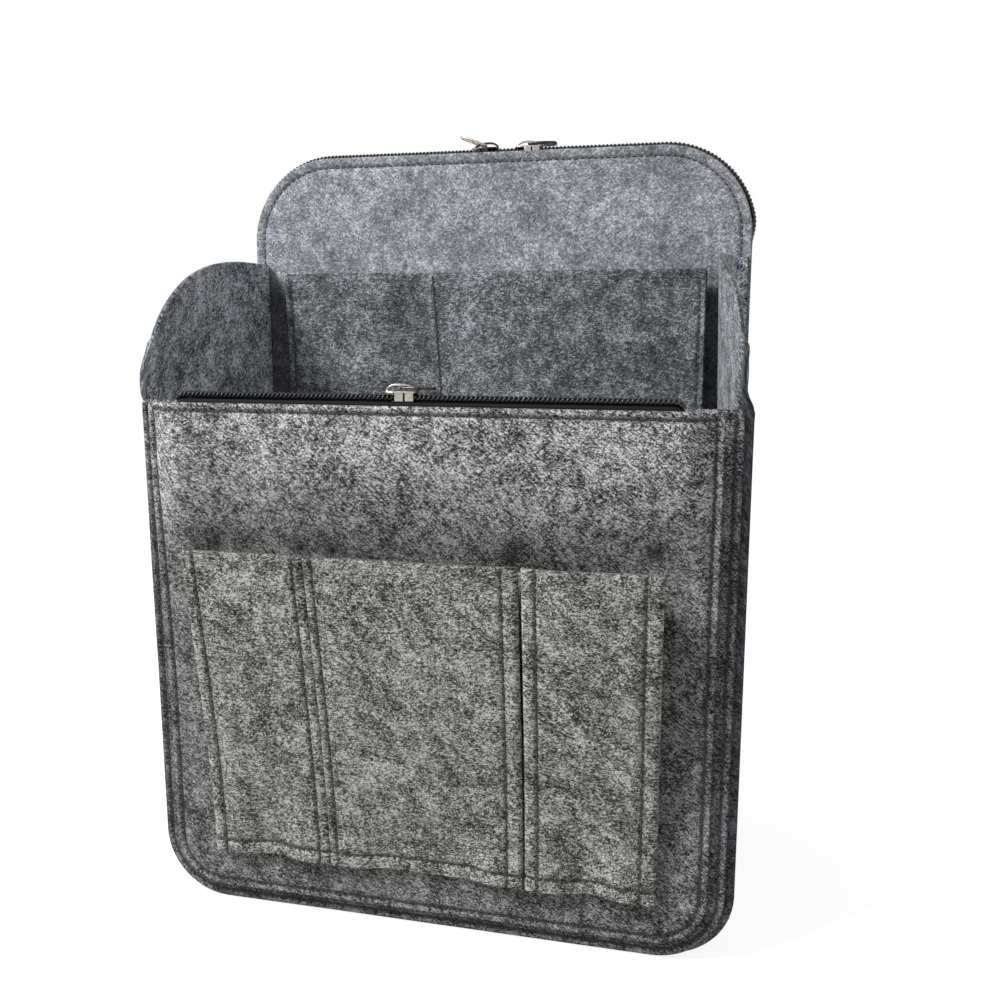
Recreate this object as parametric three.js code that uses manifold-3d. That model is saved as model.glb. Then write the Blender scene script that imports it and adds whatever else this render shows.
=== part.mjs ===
// Felt backpack organizer insert, in millimetres, +Z up, front towards -Y.
// Sewn felt panels and bands make an open main compartment, with three pleated pockets and a zip pocket
// in front and a zipped compartment behind the tall back wall.
import * as THREE from 'three';
import { mergeVertices } from 'three/addons/utils/BufferGeometryUtils.js';
import Module from 'manifold-3d';

const wasm = await Module();
wasm.setup();

// Felt and sewing
const feltThickness = 2;
const layerGap = 0.3; // air between layers that are sewn together
const arcSteps = 6; // steps in a quarter turn of a felt corner

// Front wall
const frontWidth = 240;
const frontHeight = 217;
const frontCornerRadius = 28;

// Zip pocket panel on the front wall
const pocketPanelInset = 6.5; // rim of the front wall that shows around the panel
const swellSideRun = 14; // run from the side edge to where the panel has made room for the zip
const swellTopRun = 14; // upright stretch below the top edge, beside the zip tape
const swellRise = 38; // height over which the panel comes forward
const swellEdgeShare = 0.35; // of the room for the zip that is left at the side edges
const swellSteps = 6;

// Main compartment and its gusset band
const compartmentDepth = 107;
const gussetRise = 60; // above the front wall
const gussetScoop = 93; // run of the curve cut from each front top corner, over flange and side
const gussetScoopPower = 2.15; // 2 would cut a quarter ellipse, and more a fuller curve
const gussetFrontFlange = 5;
const gussetRearFlange = 5;
const flangeTrim = 0.3; // front flange ends this far inside the edge of the front wall
const gussetBend = 3;
const leftGussetOverhang = 0.5; // front flange past the edge of the front wall, beyond its trim
const rightGussetOverhang = 2.8;
const leftGussetBow = -3.5; // top drawn in by this much at half depth, or out where negative
const rightGussetBow = 7;

// Back wall and back cover
const backOverhang = 1; // past the front wall on each side
const backRise = 50; // above the gusset band
const backTopRadius = 40;
const backCornerRadius = 28;

// Inner pocket on the back wall, sewn in two halves
const innerPocketDrop = 5; // below the top of the gusset band
const innerPocketHeight = 177;
const innerPocketSideMargin = 18; // from the front wall's side edges
const innerPocketDivider = -24.5; // place of the dividing seam
const innerPocketGape = 8; // how far each half stands off the wall at its mouth
const innerPocketHem = 9; // lies flat along the bottom edge

// Rear gusset band, between back wall and back cover
const rearBandInset = 8;
const rearFlange = 6;
const rearBend = 2;
const rearBandDrop = 0.6; // below the ends of the rear zip

// Pleated pocket strip on the zip pocket panel
const pocketDrop = 57; // pocket tops below the top of the front wall
const pocketBottom = 25; // above the bottom of the front wall
const pocketHem = 8; // lies flat along the bottom edge
const pocketGape = 16;
const leftPocketWidth = 50;
const centrePocketWidth = 83.8;
const rightPocketWidth = 50.6;
const pocketSlit = 1.2; // between neighbouring pockets
const pocketShift = 0.6; // middle of the strip, to the right of the wall's middle

// Zips: nylon coil on woven tape
const tapeThickness = 0.6;
const tapeLeg = 12; // sewn stretch below the felt edge
const tapeRise = 0.6; // above the felt edge, to the underside of the tape
const tapeSetback = 0.3; // tape edge behind the edge of its coil
const coilWidth = 2.6;
const coilHeight = 2.6;
const coilRound = 0.8; // cut from its upper corners
const chainGap = 1.2; // between the two coil rows
const frontZipMargin = 20; // from each side edge of the front wall
const rearZipDrop = 46; // ends of the rear zip below the top of the back wall
const rearZipSink = 2.6; // the rear zip lies this much deeper in its mouth than the front zip

// Zip sliders
const sliderLength = 12.6;
const sliderFlangeLength = 7.2;
const sliderPlate = 0.8;
const sliderFlange = 0.6;
const sliderClearance = 0.4; // to coil and tape
const sliderToFelt = 1.05;
const lowerPlateClearance = 0.75; // to the tapes beside it
const sliderCorner = 1.6;
const sliderCornerSteps = 3;
const bladeLength = 3;
const bladeClearance = 0.3;
const bladeSetback = 1; // from the shoulder end of the slider
const bailWidth = 1.8;
const bailBar = 0.9;
const bailWindow = 9.6;
const bailCorner = 1.4;
const weldDepth = 0.3; // overlap of pieces of one casting

// Zip pulls
const pullLength = 13.2;
const pullWidth = 6;
const pullThickness = 1;
const pullBar = 1.3;
const pullClearance = 0.15;
const pullEyeClearance = 0.6;

// Places of the sliders and lie of the pulls at rest; a pull at 0 degrees points right, at 180 left
const frontSliderX = -5.75;
const rearLeftSliderX = -3.5;
const rearRightSliderX = 17.5;
const frontPullAngle = 0;
const rearLeftPullAngle = 160;
const rearRightPullAngle = 0;

// Heights and depths that follow
const gussetTop = frontHeight + gussetRise;
const backTop = gussetTop + backRise;
const backHalf = frontWidth / 2 + backOverhang;
const panelHalf = frontWidth / 2 - pocketPanelInset;
const bladeHalf = chainGap / 2 - bladeClearance;
const coilOuter = chainGap / 2 + coilWidth;
const sliderHalf = coilOuter + sliderClearance + sliderFlange;
const zipMouth = 2 * (sliderHalf + sliderToFelt);
const lowerPlateHalf = zipMouth / 2 - layerGap - tapeThickness - lowerPlateClearance;
const tapeTop = tapeRise + tapeThickness;
const coilBase = tapeTop + layerGap;
const coilTop = coilBase + coilHeight;
const upperPlateBase = coilTop + sliderClearance;
const upperPlateTop = upperPlateBase + sliderPlate;
const lowerPlateTop = tapeRise - sliderClearance;
const pivotRise = Math.hypot(pullBar, pullThickness) / 2 + pullClearance;

// The front wall's inner face is at y = 0
const wallFront = -feltThickness;
const panelRear = wallFront - layerGap;
const panelFront = panelRear - feltThickness;
const frontZipStart = wallFront - zipMouth;
const stripRear = panelFront - layerGap;
const backRear = compartmentDepth + feltThickness;
const coverFront = backRear + zipMouth;
const coverRear = coverFront + feltThickness;
const pocketFront = stripRear - pocketGape - feltThickness;

function material(color, roughness, metalness) {
  return new THREE.MeshStandardMaterial({ color, roughness, metalness });
}

const frontFelt = material('#86868a', 0.95, 0);
const wallFelt = material('#7c7d84', 0.95, 0);
const innerFelt = material('#65666f', 0.95, 0);
const tapeCloth = material('#1b1b1d', 0.85, 0);
const coilNylon = material('#141415', 0.45, 0);
const nickel = material('#c9c7c4', 0.28, 1);

// Geometry from points and triangles, turned so that its faces point out
function closedGeometry(positions, triangles) {
  const corner = (index) => new THREE.Vector3().fromArray(positions, 3 * index);
  let volume = 0;
  for (const [a, b, c] of triangles) {
    volume += corner(a).dot(corner(b).cross(corner(c)));
  }
  const facing = volume > 0 ? triangles : triangles.map(([a, b, c]) => [a, c, b]);
  const geometry = new THREE.BufferGeometry();
  geometry.setAttribute('position', new THREE.Float32BufferAttribute(positions, 3));
  geometry.setIndex(facing.flat());
  geometry.computeVertexNormals();
  return geometry;
}

function quad(a, b, c, d) {
  return [[a, b, c], [a, c, d]];
}

// Solid through a row of stations, each a function that places a point (across, out) of a closed profile
function sweep(profile, stations) {
  const outline = profile.map(([across, out]) => new THREE.Vector2(across, out));
  if (THREE.ShapeUtils.isClockWise(outline)) outline.reverse();
  const positions = [];
  for (const place of stations) {
    for (const point of outline) {
      positions.push(...place(point.x, point.y));
    }
  }
  const count = outline.length;
  const last = (stations.length - 1) * count;
  const triangles = [];
  for (let row = 0; row < last; row += count) {
    for (let k = 0; k < count; k++) {
      const next = (k + 1) % count;
      triangles.push(...quad(row + k, row + next, row + count + next, row + count + k));
    }
  }
  for (const [a, b, c] of THREE.ShapeUtils.triangulateShape(outline, [])) {
    triangles.push([a, c, b], [last + a, last + b, last + c]);
  }
  return closedGeometry(positions, triangles);
}

// Felt sheet over a grid of columns and rows, thick along Y about the middle that place gives
function feltSheet(columns, rows, place) {
  const positions = [];
  for (const side of [-1, 1]) {
    for (const row of rows) {
      for (const column of columns) {
        const [x, y, z] = place(column, row);
        positions.push(x, y + side * feltThickness / 2, z);
      }
    }
  }
  const width = columns.length;
  const layer = width * rows.length;
  const triangles = [];
  for (let row = 0; row + 1 < rows.length; row++) {
    for (let column = 0; column + 1 < width; column++) {
      const a = row * width + column;
      const [b, c, d] = [a + 1, a + width + 1, a + width];
      triangles.push(...quad(a, b, c, d));
      triangles.push(...quad(layer + a, layer + d, layer + c, layer + b));
    }
  }
  const rim = [];
  for (let column = 0; column < width; column++) rim.push(column);
  for (let row = 1; row < rows.length; row++) rim.push(row * width + width - 1);
  for (let column = width - 2; column >= 0; column--) rim.push(layer - width + column);
  for (let row = rows.length - 2; row > 0; row--) rim.push(row * width);
  rim.forEach((a, k) => {
    const b = rim[(k + 1) % rim.length];
    triangles.push(...quad(b, a, layer + a, layer + b));
  });
  return closedGeometry(positions, triangles);
}

function toSolid(geometry) {
  const bare = geometry.clone();
  bare.deleteAttribute('normal');
  bare.deleteAttribute('uv');
  const merged = mergeVertices(bare);
  return new wasm.Manifold(new wasm.Mesh({
    numProp: 3,
    vertProperties: new Float32Array(merged.attributes.position.array),
    triVerts: new Uint32Array(merged.index.array),
  }));
}

function join(geometries) {
  const solid = geometries.map(toSolid).reduce((whole, next) => whole.add(next));
  const mesh = solid.getMesh();
  const geometry = new THREE.BufferGeometry();
  geometry.setAttribute('position', new THREE.BufferAttribute(mesh.vertProperties, 3));
  geometry.setIndex(new THREE.BufferAttribute(mesh.triVerts, 1));
  geometry.computeVertexNormals();
  return geometry;
}

function block([x0, x1], [y0, y1], [z0, z1]) {
  const geometry = new THREE.BoxGeometry(x1 - x0, y1 - y0, z1 - z0);
  return geometry.translate((x0 + x1) / 2, (y0 + y1) / 2, (z0 + z1) / 2);
}

// Outline of a panel that stands on z = 0, with rounded lower corners and square or rounded upper ones
function panelShape(half, top, lowerRadius, upperRadius) {
  const shape = new THREE.Shape();
  shape.moveTo(-half + lowerRadius, 0);
  shape.lineTo(half - lowerRadius, 0);
  shape.absarc(half - lowerRadius, lowerRadius, lowerRadius, -Math.PI / 2, 0, false);
  if (upperRadius > 0) {
    shape.absarc(half - upperRadius, top - upperRadius, upperRadius, 0, Math.PI / 2, false);
    shape.absarc(-half + upperRadius, top - upperRadius, upperRadius, Math.PI / 2, Math.PI, false);
  } else {
    shape.lineTo(half, top);
    shape.lineTo(-half, top);
  }
  shape.absarc(-half + lowerRadius, lowerRadius, lowerRadius, Math.PI, 1.5 * Math.PI, false);
  return shape;
}

// A shape drawn in X and Z becomes a plate whose faces are at y = front and y = front + thickness
function plate(shape, front, thickness) {
  const geometry = new THREE.ExtrudeGeometry(shape, {
    depth: thickness,
    bevelEnabled: false,
    curveSegments: arcSteps,
  });
  return geometry.rotateX(Math.PI / 2).translate(0, front + thickness, 0);
}

// How far the zip pocket panel stands off the front wall, beyond the sewn gap
function pocketSwell(x, z) {
  const inward = THREE.MathUtils.smoothstep(panelHalf - Math.abs(x), 0, swellSideRun);
  const sideShare = THREE.MathUtils.lerp(swellEdgeShare, 1, inward);
  const high = frontHeight - swellTopRun;
  const heightShare = THREE.MathUtils.smoothstep(z, high - swellRise, high);
  return (zipMouth - layerGap) * sideShare * heightShare;
}

function pocketPanelGeometry() {
  const radius = frontCornerRadius - pocketPanelInset;
  const rows = [];
  for (let k = 0; k <= arcSteps; k++) {
    const angle = k / arcSteps * Math.PI / 2;
    const half = panelHalf - radius + radius * Math.sin(angle);
    rows.push({ z: pocketPanelInset + radius * (1 - Math.cos(angle)), half });
  }
  for (let k = 0; k <= swellSteps; k++) {
    rows.push({ z: frontHeight - swellTopRun - swellRise * (1 - k / swellSteps), half: panelHalf });
  }
  rows.push({ z: frontHeight, half: panelHalf });
  const sideSteps = 4;
  const edge = [];
  for (let k = 0; k <= sideSteps; k++) {
    edge.push(1 - k / sideSteps * swellSideRun / panelHalf);
  }
  const columns = [...edge.map((share) => -share), 0, ...edge.reverse()];
  const middle = panelRear - feltThickness / 2;
  return feltSheet(columns, rows, (share, { z, half }) => {
    return [share * half, middle - pocketSwell(share * half, z), z];
  });
}

// Cross-section of a gusset band, from the tip of one outward flange over the web to the other
function bandProfile(depth, nearFlange, farFlange, bend) {
  const near = layerGap;
  const far = depth - layerGap;
  const inner = -feltThickness;
  const bendSteps = 3;
  const webSteps = 12;
  const points = [[near, nearFlange]];
  for (let k = 0; k <= bendSteps; k++) {
    const angle = k / bendSteps * Math.PI / 2;
    points.push([near + bend * (1 - Math.cos(angle)), inner + bend * (1 - Math.sin(angle))]);
  }
  for (let k = 1; k < webSteps; k++) {
    points.push([near + bend + k / webSteps * (far - near - 2 * bend), inner]);
  }
  for (let k = 0; k <= bendSteps; k++) {
    const angle = k / bendSteps * Math.PI / 2;
    points.push([far - bend * (1 - Math.sin(angle)), inner + bend * (1 - Math.cos(angle))]);
  }
  points.push([far, farFlange], [far - feltThickness, farFlange]);
  for (let k = 0; k <= webSteps; k++) {
    points.push([far - feltThickness - k / webSteps * (far - near - 2 * feltThickness), 0]);
  }
  points.push([near + feltThickness, nearFlange]);
  return points;
}

// Stations of a band down one side, along the bottom and up the other; top gives the height of its cut ends.
// Each side has its overhang, which tapers to nothing at the rear, and the bow of its top.
function bandStations({ start, depth, half, bottom, radius, left, right, top }) {
  const corner = bottom + radius;
  const sideSteps = 3;
  const lie = (side) => (side < 0 ? left : right);
  const reach = (side, across) => half + lie(side).overhang * (1 - across / depth);
  const drawnIn = (side, across) => lie(side).bow * Math.sin(Math.PI * across / depth);
  const upright = (side, share) => (across, out) => [
    side * (reach(side, across) + out - share * drawnIn(side, across)),
    start + across,
    THREE.MathUtils.lerp(corner, top(across, out), share),
  ];
  const turned = (side, angle) => (across, out) => [
    side * (reach(side, across) - radius + (radius + out) * Math.cos(angle)),
    start + across,
    corner - (radius + out) * Math.sin(angle),
  ];
  const oneSide = (side) => {
    const stations = [];
    for (let k = sideSteps; k > 0; k--) stations.push(upright(side, k / sideSteps));
    for (let k = 0; k <= arcSteps; k++) stations.push(turned(side, k / arcSteps * Math.PI / 2));
    return stations;
  };
  return [...oneSide(-1), ...oneSide(1).reverse()];
}

function gussetBandGeometry() {
  const frontTip = gussetFrontFlange - flangeTrim;
  const scoopedTop = (across, out) => {
    const onFrontFlange = across < compartmentDepth / 2 ? Math.max(0, out) : 0;
    const run = across + frontTip - onFrontFlange;
    const short = Math.max(0, gussetScoop - run) / gussetScoop;
    return frontHeight + gussetRise * (1 - short ** gussetScoopPower) ** (1 / gussetScoopPower);
  };
  const profile = bandProfile(compartmentDepth, frontTip, gussetRearFlange, gussetBend);
  return sweep(profile, bandStations({
    start: 0,
    depth: compartmentDepth,
    half: frontWidth / 2 - gussetFrontFlange,
    bottom: gussetFrontFlange,
    radius: frontCornerRadius - gussetFrontFlange,
    left: { overhang: leftGussetOverhang, bow: leftGussetBow },
    right: { overhang: rightGussetOverhang, bow: rightGussetBow },
    top: scoopedTop,
  }));
}

function rearBandGeometry() {
  const straight = { overhang: 0, bow: 0 };
  return sweep(bandProfile(zipMouth, rearFlange, rearFlange, rearBend), bandStations({
    start: backRear,
    depth: zipMouth,
    half: backHalf - rearBandInset,
    bottom: rearBandInset,
    radius: backCornerRadius - rearBandInset,
    left: straight,
    right: straight,
    top: () => backTop - rearZipDrop - rearBandDrop,
  }));
}

// Two pocket halves that lie on the back wall at their edges and stand off it in the middle of each mouth
function innerPocketGeometry() {
  const half = frontWidth / 2 - innerPocketSideMargin;
  const top = gussetTop - innerPocketDrop;
  const bottom = top - innerPocketHeight;
  const steps = 8;
  const columns = [];
  for (let k = 0; k <= steps; k++) {
    columns.push({ x: THREE.MathUtils.lerp(-half, innerPocketDivider, k / steps), wave: k / steps });
  }
  for (let k = 1; k <= steps; k++) {
    columns.push({ x: THREE.MathUtils.lerp(innerPocketDivider, half, k / steps), wave: k / steps });
  }
  const rows = [bottom];
  for (let k = 0; k <= steps / 2; k++) {
    rows.push(THREE.MathUtils.lerp(bottom + innerPocketHem, top, 2 * k / steps));
  }
  const middle = compartmentDepth - layerGap - feltThickness / 2;
  return feltSheet(columns, rows, ({ x, wave }, z) => {
    const rise = Math.max(0, z - bottom - innerPocketHem) / (innerPocketHeight - innerPocketHem);
    const standOff = innerPocketGape * Math.sin(Math.PI * wave) ** 2 * rise * rise;
    return [x, middle - standOff, z];
  });
}

// One strip, pleated into three pockets: tilted faces, side walls that taper to nothing, and the sewn valleys
function pocketStripGeometry() {
  const top = frontHeight - pocketDrop;
  const hemTop = pocketBottom + pocketHem;
  const extrudeAcross = (points, x0, x1) => {
    const shape = new THREE.Shape(points.map(([y, z]) => new THREE.Vector2(y, z)));
    const geometry = new THREE.ExtrudeGeometry(shape, { depth: x1 - x0, bevelEnabled: false });
    return geometry.rotateX(Math.PI / 2).rotateZ(Math.PI / 2).translate(x0, 0, 0);
  };
  const faceOutline = [
    [stripRear, pocketBottom],
    [stripRear, hemTop],
    [stripRear - pocketGape, top],
    [stripRear - pocketGape - feltThickness, top],
    [stripRear - feltThickness, hemTop],
    [stripRear - feltThickness, pocketBottom],
  ];
  const wallOutline = [
    [stripRear, hemTop],
    [stripRear, top],
    [stripRear - pocketGape - feltThickness / 2, top],
    [stripRear - feltThickness / 2, hemTop],
  ];
  const widths = [leftPocketWidth, centrePocketWidth, rightPocketWidth];
  const whole = widths.reduce((sum, width) => sum + width) + pocketSlit * (widths.length - 1);
  const pieces = [];
  let left = pocketShift - whole / 2;
  widths.forEach((width, k) => {
    const right = left + width;
    pieces.push(extrudeAcross(faceOutline, left, right));
    pieces.push(extrudeAcross(wallOutline, left, left + feltThickness));
    pieces.push(extrudeAcross(wallOutline, right - feltThickness, right));
    if (k > 0) {
      const valley = [left - pocketSlit - feltThickness, left + feltThickness];
      pieces.push(block(valley, [stripRear - feltThickness, stripRear], [pocketBottom, top]));
    }
    left = right + pocketSlit;
  });
  return join(pieces);
}

// Cross-sections of a zip: each tape stands on its felt and turns in over the mouth, with its coil on top
function tapeProfile(side) {
  const middle = zipMouth / 2;
  const felt = middle - layerGap;
  const edge = chainGap / 2 + tapeSetback;
  const points = [
    [felt, -tapeLeg],
    [felt, tapeTop],
    [edge, tapeTop],
    [edge, tapeRise],
    [felt - tapeThickness, tapeRise],
    [felt - tapeThickness, -tapeLeg],
  ];
  return points.map(([across, out]) => [middle + side * across, out]);
}

function coilProfile(side) {
  const inner = chainGap / 2;
  const points = [
    [inner, coilBase],
    [coilOuter, coilBase],
    [coilOuter, coilTop - coilRound],
    [coilOuter - coilRound, coilTop],
    [inner + coilRound, coilTop],
    [inner, coilTop - coilRound],
  ];
  return points.map(([across, out]) => [zipMouth / 2 + side * across, out]);
}

function frontZipStations() {
  const half = frontWidth / 2 - frontZipMargin;
  return [-half, half].map((x) => (across, out) => [x, frontZipStart + across, frontHeight + out]);
}

// Up one side of the back wall's edge, round its top corners and down the other side
function rearZipStations() {
  const centre = { x: backHalf - backTopRadius, z: backTop - backTopRadius };
  const radius = backTopRadius - rearZipSink;
  const turned = (side, angle) => (across, out) => [
    side * (centre.x + (radius + out) * Math.cos(angle)),
    backRear + across,
    centre.z + (radius + out) * Math.sin(angle),
  ];
  const end = (side) => (across, out) => [
    side * (centre.x + radius + out),
    backRear + across,
    backTop - rearZipDrop,
  ];
  const oneSide = (side) => {
    const stations = [end(side)];
    for (let k = 0; k <= arcSteps; k++) stations.push(turned(side, k / arcSteps * Math.PI / 2));
    return stations;
  };
  return [...oneSide(-1), ...oneSide(1).reverse()];
}

// Flat outline with four equal round corners, drawn in X and Y and standing on z = base
function roundedPlate(half, length, corner, base, thickness) {
  const end = length / 2;
  const shape = new THREE.Shape();
  shape.moveTo(-end + corner, -half);
  shape.lineTo(end - corner, -half);
  shape.absarc(end - corner, -half + corner, corner, -Math.PI / 2, 0, false);
  shape.absarc(end - corner, half - corner, corner, 0, Math.PI / 2, false);
  shape.absarc(-end + corner, half - corner, corner, Math.PI / 2, Math.PI, false);
  shape.absarc(-end + corner, -half + corner, corner, Math.PI, 1.5 * Math.PI, false);
  const geometry = new THREE.ExtrudeGeometry(shape, {
    depth: thickness,
    bevelEnabled: false,
    curveSegments: sliderCornerSteps,
  });
  return geometry.translate(0, 0, base);
}

// Slider along X with its shoulders at -X; z = 0 is where the tape turns in and y = 0 the middle of the chain
function sliderGeometry() {
  const tail = sliderLength / 2;
  const flangeRun = [tail - sliderFlangeLength, tail - sliderCorner / 2];
  const flangeHeight = [tapeTop + sliderClearance, upperPlateTop - weldDepth];
  const blade = -tail + bladeSetback;
  const bailHalf = bailWindow / 2 + bailBar;
  const bailTop = 2 * pivotRise + bailBar;
  const bail = new THREE.Shape();
  bail.moveTo(-bailHalf, -weldDepth);
  bail.lineTo(bailHalf, -weldDepth);
  bail.lineTo(bailHalf, bailTop - bailCorner);
  bail.quadraticCurveTo(bailHalf, bailTop, bailHalf - bailCorner, bailTop);
  bail.lineTo(-bailHalf + bailCorner, bailTop);
  bail.quadraticCurveTo(-bailHalf, bailTop, -bailHalf, bailTop - bailCorner);
  const window = new THREE.Path();
  window.moveTo(-bailWindow / 2, 0);
  window.lineTo(-bailWindow / 2, 2 * pivotRise);
  window.lineTo(bailWindow / 2, 2 * pivotRise);
  window.lineTo(bailWindow / 2, 0);
  bail.holes.push(window);
  return join([
    roundedPlate(sliderHalf, sliderLength, sliderCorner, upperPlateBase, sliderPlate),
    roundedPlate(lowerPlateHalf, sliderLength, sliderCorner, lowerPlateTop - sliderPlate, sliderPlate),
    block(flangeRun, [-sliderHalf, -sliderHalf + sliderFlange], flangeHeight),
    block(flangeRun, [sliderHalf - sliderFlange, sliderHalf], flangeHeight),
    block(
      [blade, blade + bladeLength],
      [-bladeHalf, bladeHalf],
      [lowerPlateTop - weldDepth, upperPlateBase + weldDepth],
    ),
    plate(bail, -bailWidth / 2, bailWidth).translate(0, 0, upperPlateTop),
  ]);
}

// Pull tab along +X from its bar, which passes through the bail and turns about Y at the origin
function pullGeometry() {
  const half = pullWidth / 2;
  const eyeHalf = bailWidth / 2 + pullEyeClearance;
  const eyeEnd = Math.hypot(bailWindow / 2 + bailBar, pivotRise) + pullEyeClearance;
  const shape = new THREE.Shape();
  shape.moveTo(-pullBar / 2, -half);
  shape.lineTo(pullLength - half, -half);
  shape.absarc(pullLength - half, 0, half, -Math.PI / 2, Math.PI / 2, false);
  shape.lineTo(-pullBar / 2, half);
  const eye = new THREE.Path();
  eye.moveTo(pullBar / 2, -eyeHalf);
  eye.lineTo(pullBar / 2, eyeHalf);
  eye.lineTo(eyeEnd, eyeHalf);
  eye.lineTo(eyeEnd, -eyeHalf);
  shape.holes.push(eye);
  const geometry = new THREE.ExtrudeGeometry(shape, {
    depth: pullThickness,
    bevelEnabled: false,
    curveSegments: arcSteps,
  });
  return geometry.translate(0, 0, -pullThickness / 2);
}

const insert = new THREE.Group();

function addPiece(name, geometry, finish, parent = insert) {
  const mesh = new THREE.Mesh(geometry, finish);
  mesh.name = name;
  parent.add(mesh);
  return mesh;
}

// Felt pieces, from front to back
addPiece('bellows_pocket_strip', pocketStripGeometry(), frontFelt);
addPiece('front_pocket_panel', pocketPanelGeometry(), frontFelt);
const frontOutline = panelShape(frontWidth / 2, frontHeight, frontCornerRadius, 0);
addPiece('front_wall_panel', plate(frontOutline, wallFront, feltThickness), wallFelt);
addPiece('gusset_band', gussetBandGeometry(), innerFelt);
addPiece('inner_pocket_panel', innerPocketGeometry(), innerFelt);
const backOutline = panelShape(backHalf, backTop, backCornerRadius, backTopRadius);
addPiece('back_wall_panel', plate(backOutline, compartmentDepth, feltThickness), wallFelt);
addPiece('rear_gusset_band', rearBandGeometry(), innerFelt);
addPiece('back_cover_panel', plate(backOutline, coverFront, feltThickness), wallFelt);

// Zip tapes and coils, each named for the side of the mouth that it is on
for (const [zip, stations] of [['front_zip', frontZipStations()], ['rear_zip', rearZipStations()]]) {
  for (const [place, side] of [['near', -1], ['far', 1]]) {
    addPiece(`${zip}_tape_${place}`, sweep(tapeProfile(side), stations), tapeCloth);
    addPiece(`${zip}_coil_${place}`, sweep(coilProfile(side), stations), coilNylon);
  }
}

// Sliders with their pulls; a turned slider has its shoulders on the right
const sliders = [
  { zip: 'front_zip', hand: '', x: frontSliderX, turned: false, angle: frontPullAngle },
  { zip: 'rear_zip', hand: '_left', x: rearLeftSliderX, turned: true, angle: rearLeftPullAngle },
  { zip: 'rear_zip', hand: '_right', x: rearRightSliderX, turned: false, angle: rearRightPullAngle },
];
for (const { zip, hand, x, turned, angle } of sliders) {
  const front = zip === 'front_zip';
  const mouthStart = front ? frontZipStart : backRear;
  const turnHeight = front ? frontHeight : backTop - rearZipSink;
  const carriage = new THREE.Group();
  carriage.position.set(x, mouthStart + zipMouth / 2, turnHeight);
  insert.add(carriage);
  const slider = addPiece(`${zip}_slider${hand}`, sliderGeometry(), nickel, carriage);
  slider.rotation.z = turned ? Math.PI : 0;
  const pull = addPiece(`${zip}_pull${hand}`, pullGeometry(), nickel, carriage);
  pull.position.z = upperPlateTop + pivotRise;
  pull.rotation.y = -THREE.MathUtils.degToRad(angle);
}

// The insert stands on z = 0 with the middle of its depth on the origin
insert.position.y = -(pocketFront + coverRear) / 2;

export default insert;
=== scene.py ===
import math
import bmesh
import bpy
import numpy as np
from mathutils import Matrix, Vector, noise


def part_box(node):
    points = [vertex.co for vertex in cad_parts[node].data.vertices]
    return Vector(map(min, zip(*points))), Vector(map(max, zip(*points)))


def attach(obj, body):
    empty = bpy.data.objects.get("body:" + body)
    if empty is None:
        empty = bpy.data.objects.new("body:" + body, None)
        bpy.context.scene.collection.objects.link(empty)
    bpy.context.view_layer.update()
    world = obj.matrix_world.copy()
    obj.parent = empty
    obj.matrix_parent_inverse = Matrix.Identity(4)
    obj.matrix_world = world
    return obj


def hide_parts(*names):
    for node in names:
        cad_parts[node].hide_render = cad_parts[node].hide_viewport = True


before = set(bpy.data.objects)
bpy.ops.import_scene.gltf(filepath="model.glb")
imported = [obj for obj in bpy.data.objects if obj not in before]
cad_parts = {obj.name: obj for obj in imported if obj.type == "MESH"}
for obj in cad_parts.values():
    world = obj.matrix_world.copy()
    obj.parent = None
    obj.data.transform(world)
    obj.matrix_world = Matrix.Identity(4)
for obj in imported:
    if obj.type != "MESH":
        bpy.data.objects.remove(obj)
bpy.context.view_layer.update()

mm = 0.001  # the scene is in metres, the sizes below are in millimetres


def nodeBox(name):  # lowest and highest corner of a frame node, in mm
    low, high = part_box(name)
    return low / mm, high / mm


wallLow, wallHigh = nodeBox("front_wall_panel")
panelLow, panelHigh = nodeBox("front_pocket_panel")
stripLow, stripHigh = nodeBox("bellows_pocket_strip")
gussetHigh = nodeBox("gusset_band")[1]
innerLow, innerHigh = nodeBox("inner_pocket_panel")
backLow, backHigh = nodeBox("back_wall_panel")
rearHigh = nodeBox("rear_gusset_band")[1]
coverLow, coverHigh = nodeBox("back_cover_panel")
frontTapeLow, frontTapeHigh = nodeBox("front_zip_tape_near")
rearTapeLow = nodeBox("rear_zip_tape_near")[0]
print("frame read")


# Camera where the photographer stood
cameraSet = {
    "place": (116.0, -411.2, 245.1), "azimuth": 13.33, "elevation": 9.81,
    "lens": 35.55, "sensor": 36, "near": 10,
}
cameraData = bpy.data.cameras.new("camera")
cameraData.lens = cameraSet["lens"]
cameraData.sensor_width = cameraSet["sensor"]
cameraData.clip_start = cameraSet["near"] * mm
camera = bpy.data.objects.new("camera", cameraData)
camera.location = Vector(cameraSet["place"]) * mm
camera.rotation_euler = (math.radians(90 - cameraSet["elevation"]), 0, math.radians(cameraSet["azimuth"]))
bpy.context.collection.objects.link(camera)
bpy.context.scene.camera = camera
bpy.context.scene.view_settings.view_transform = "Standard"
print("camera placed")


def linear(hexColour):  # sRGB hex to linear RGBA
    digits = hexColour.lstrip("#")
    shares = [int(digits[i:i + 2], 16) / 255 for i in (0, 2, 4)]
    return [s / 12.92 if s <= 0.04045 else ((s + 0.055) / 1.055) ** 2.4 for s in shares] + [1]


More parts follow.
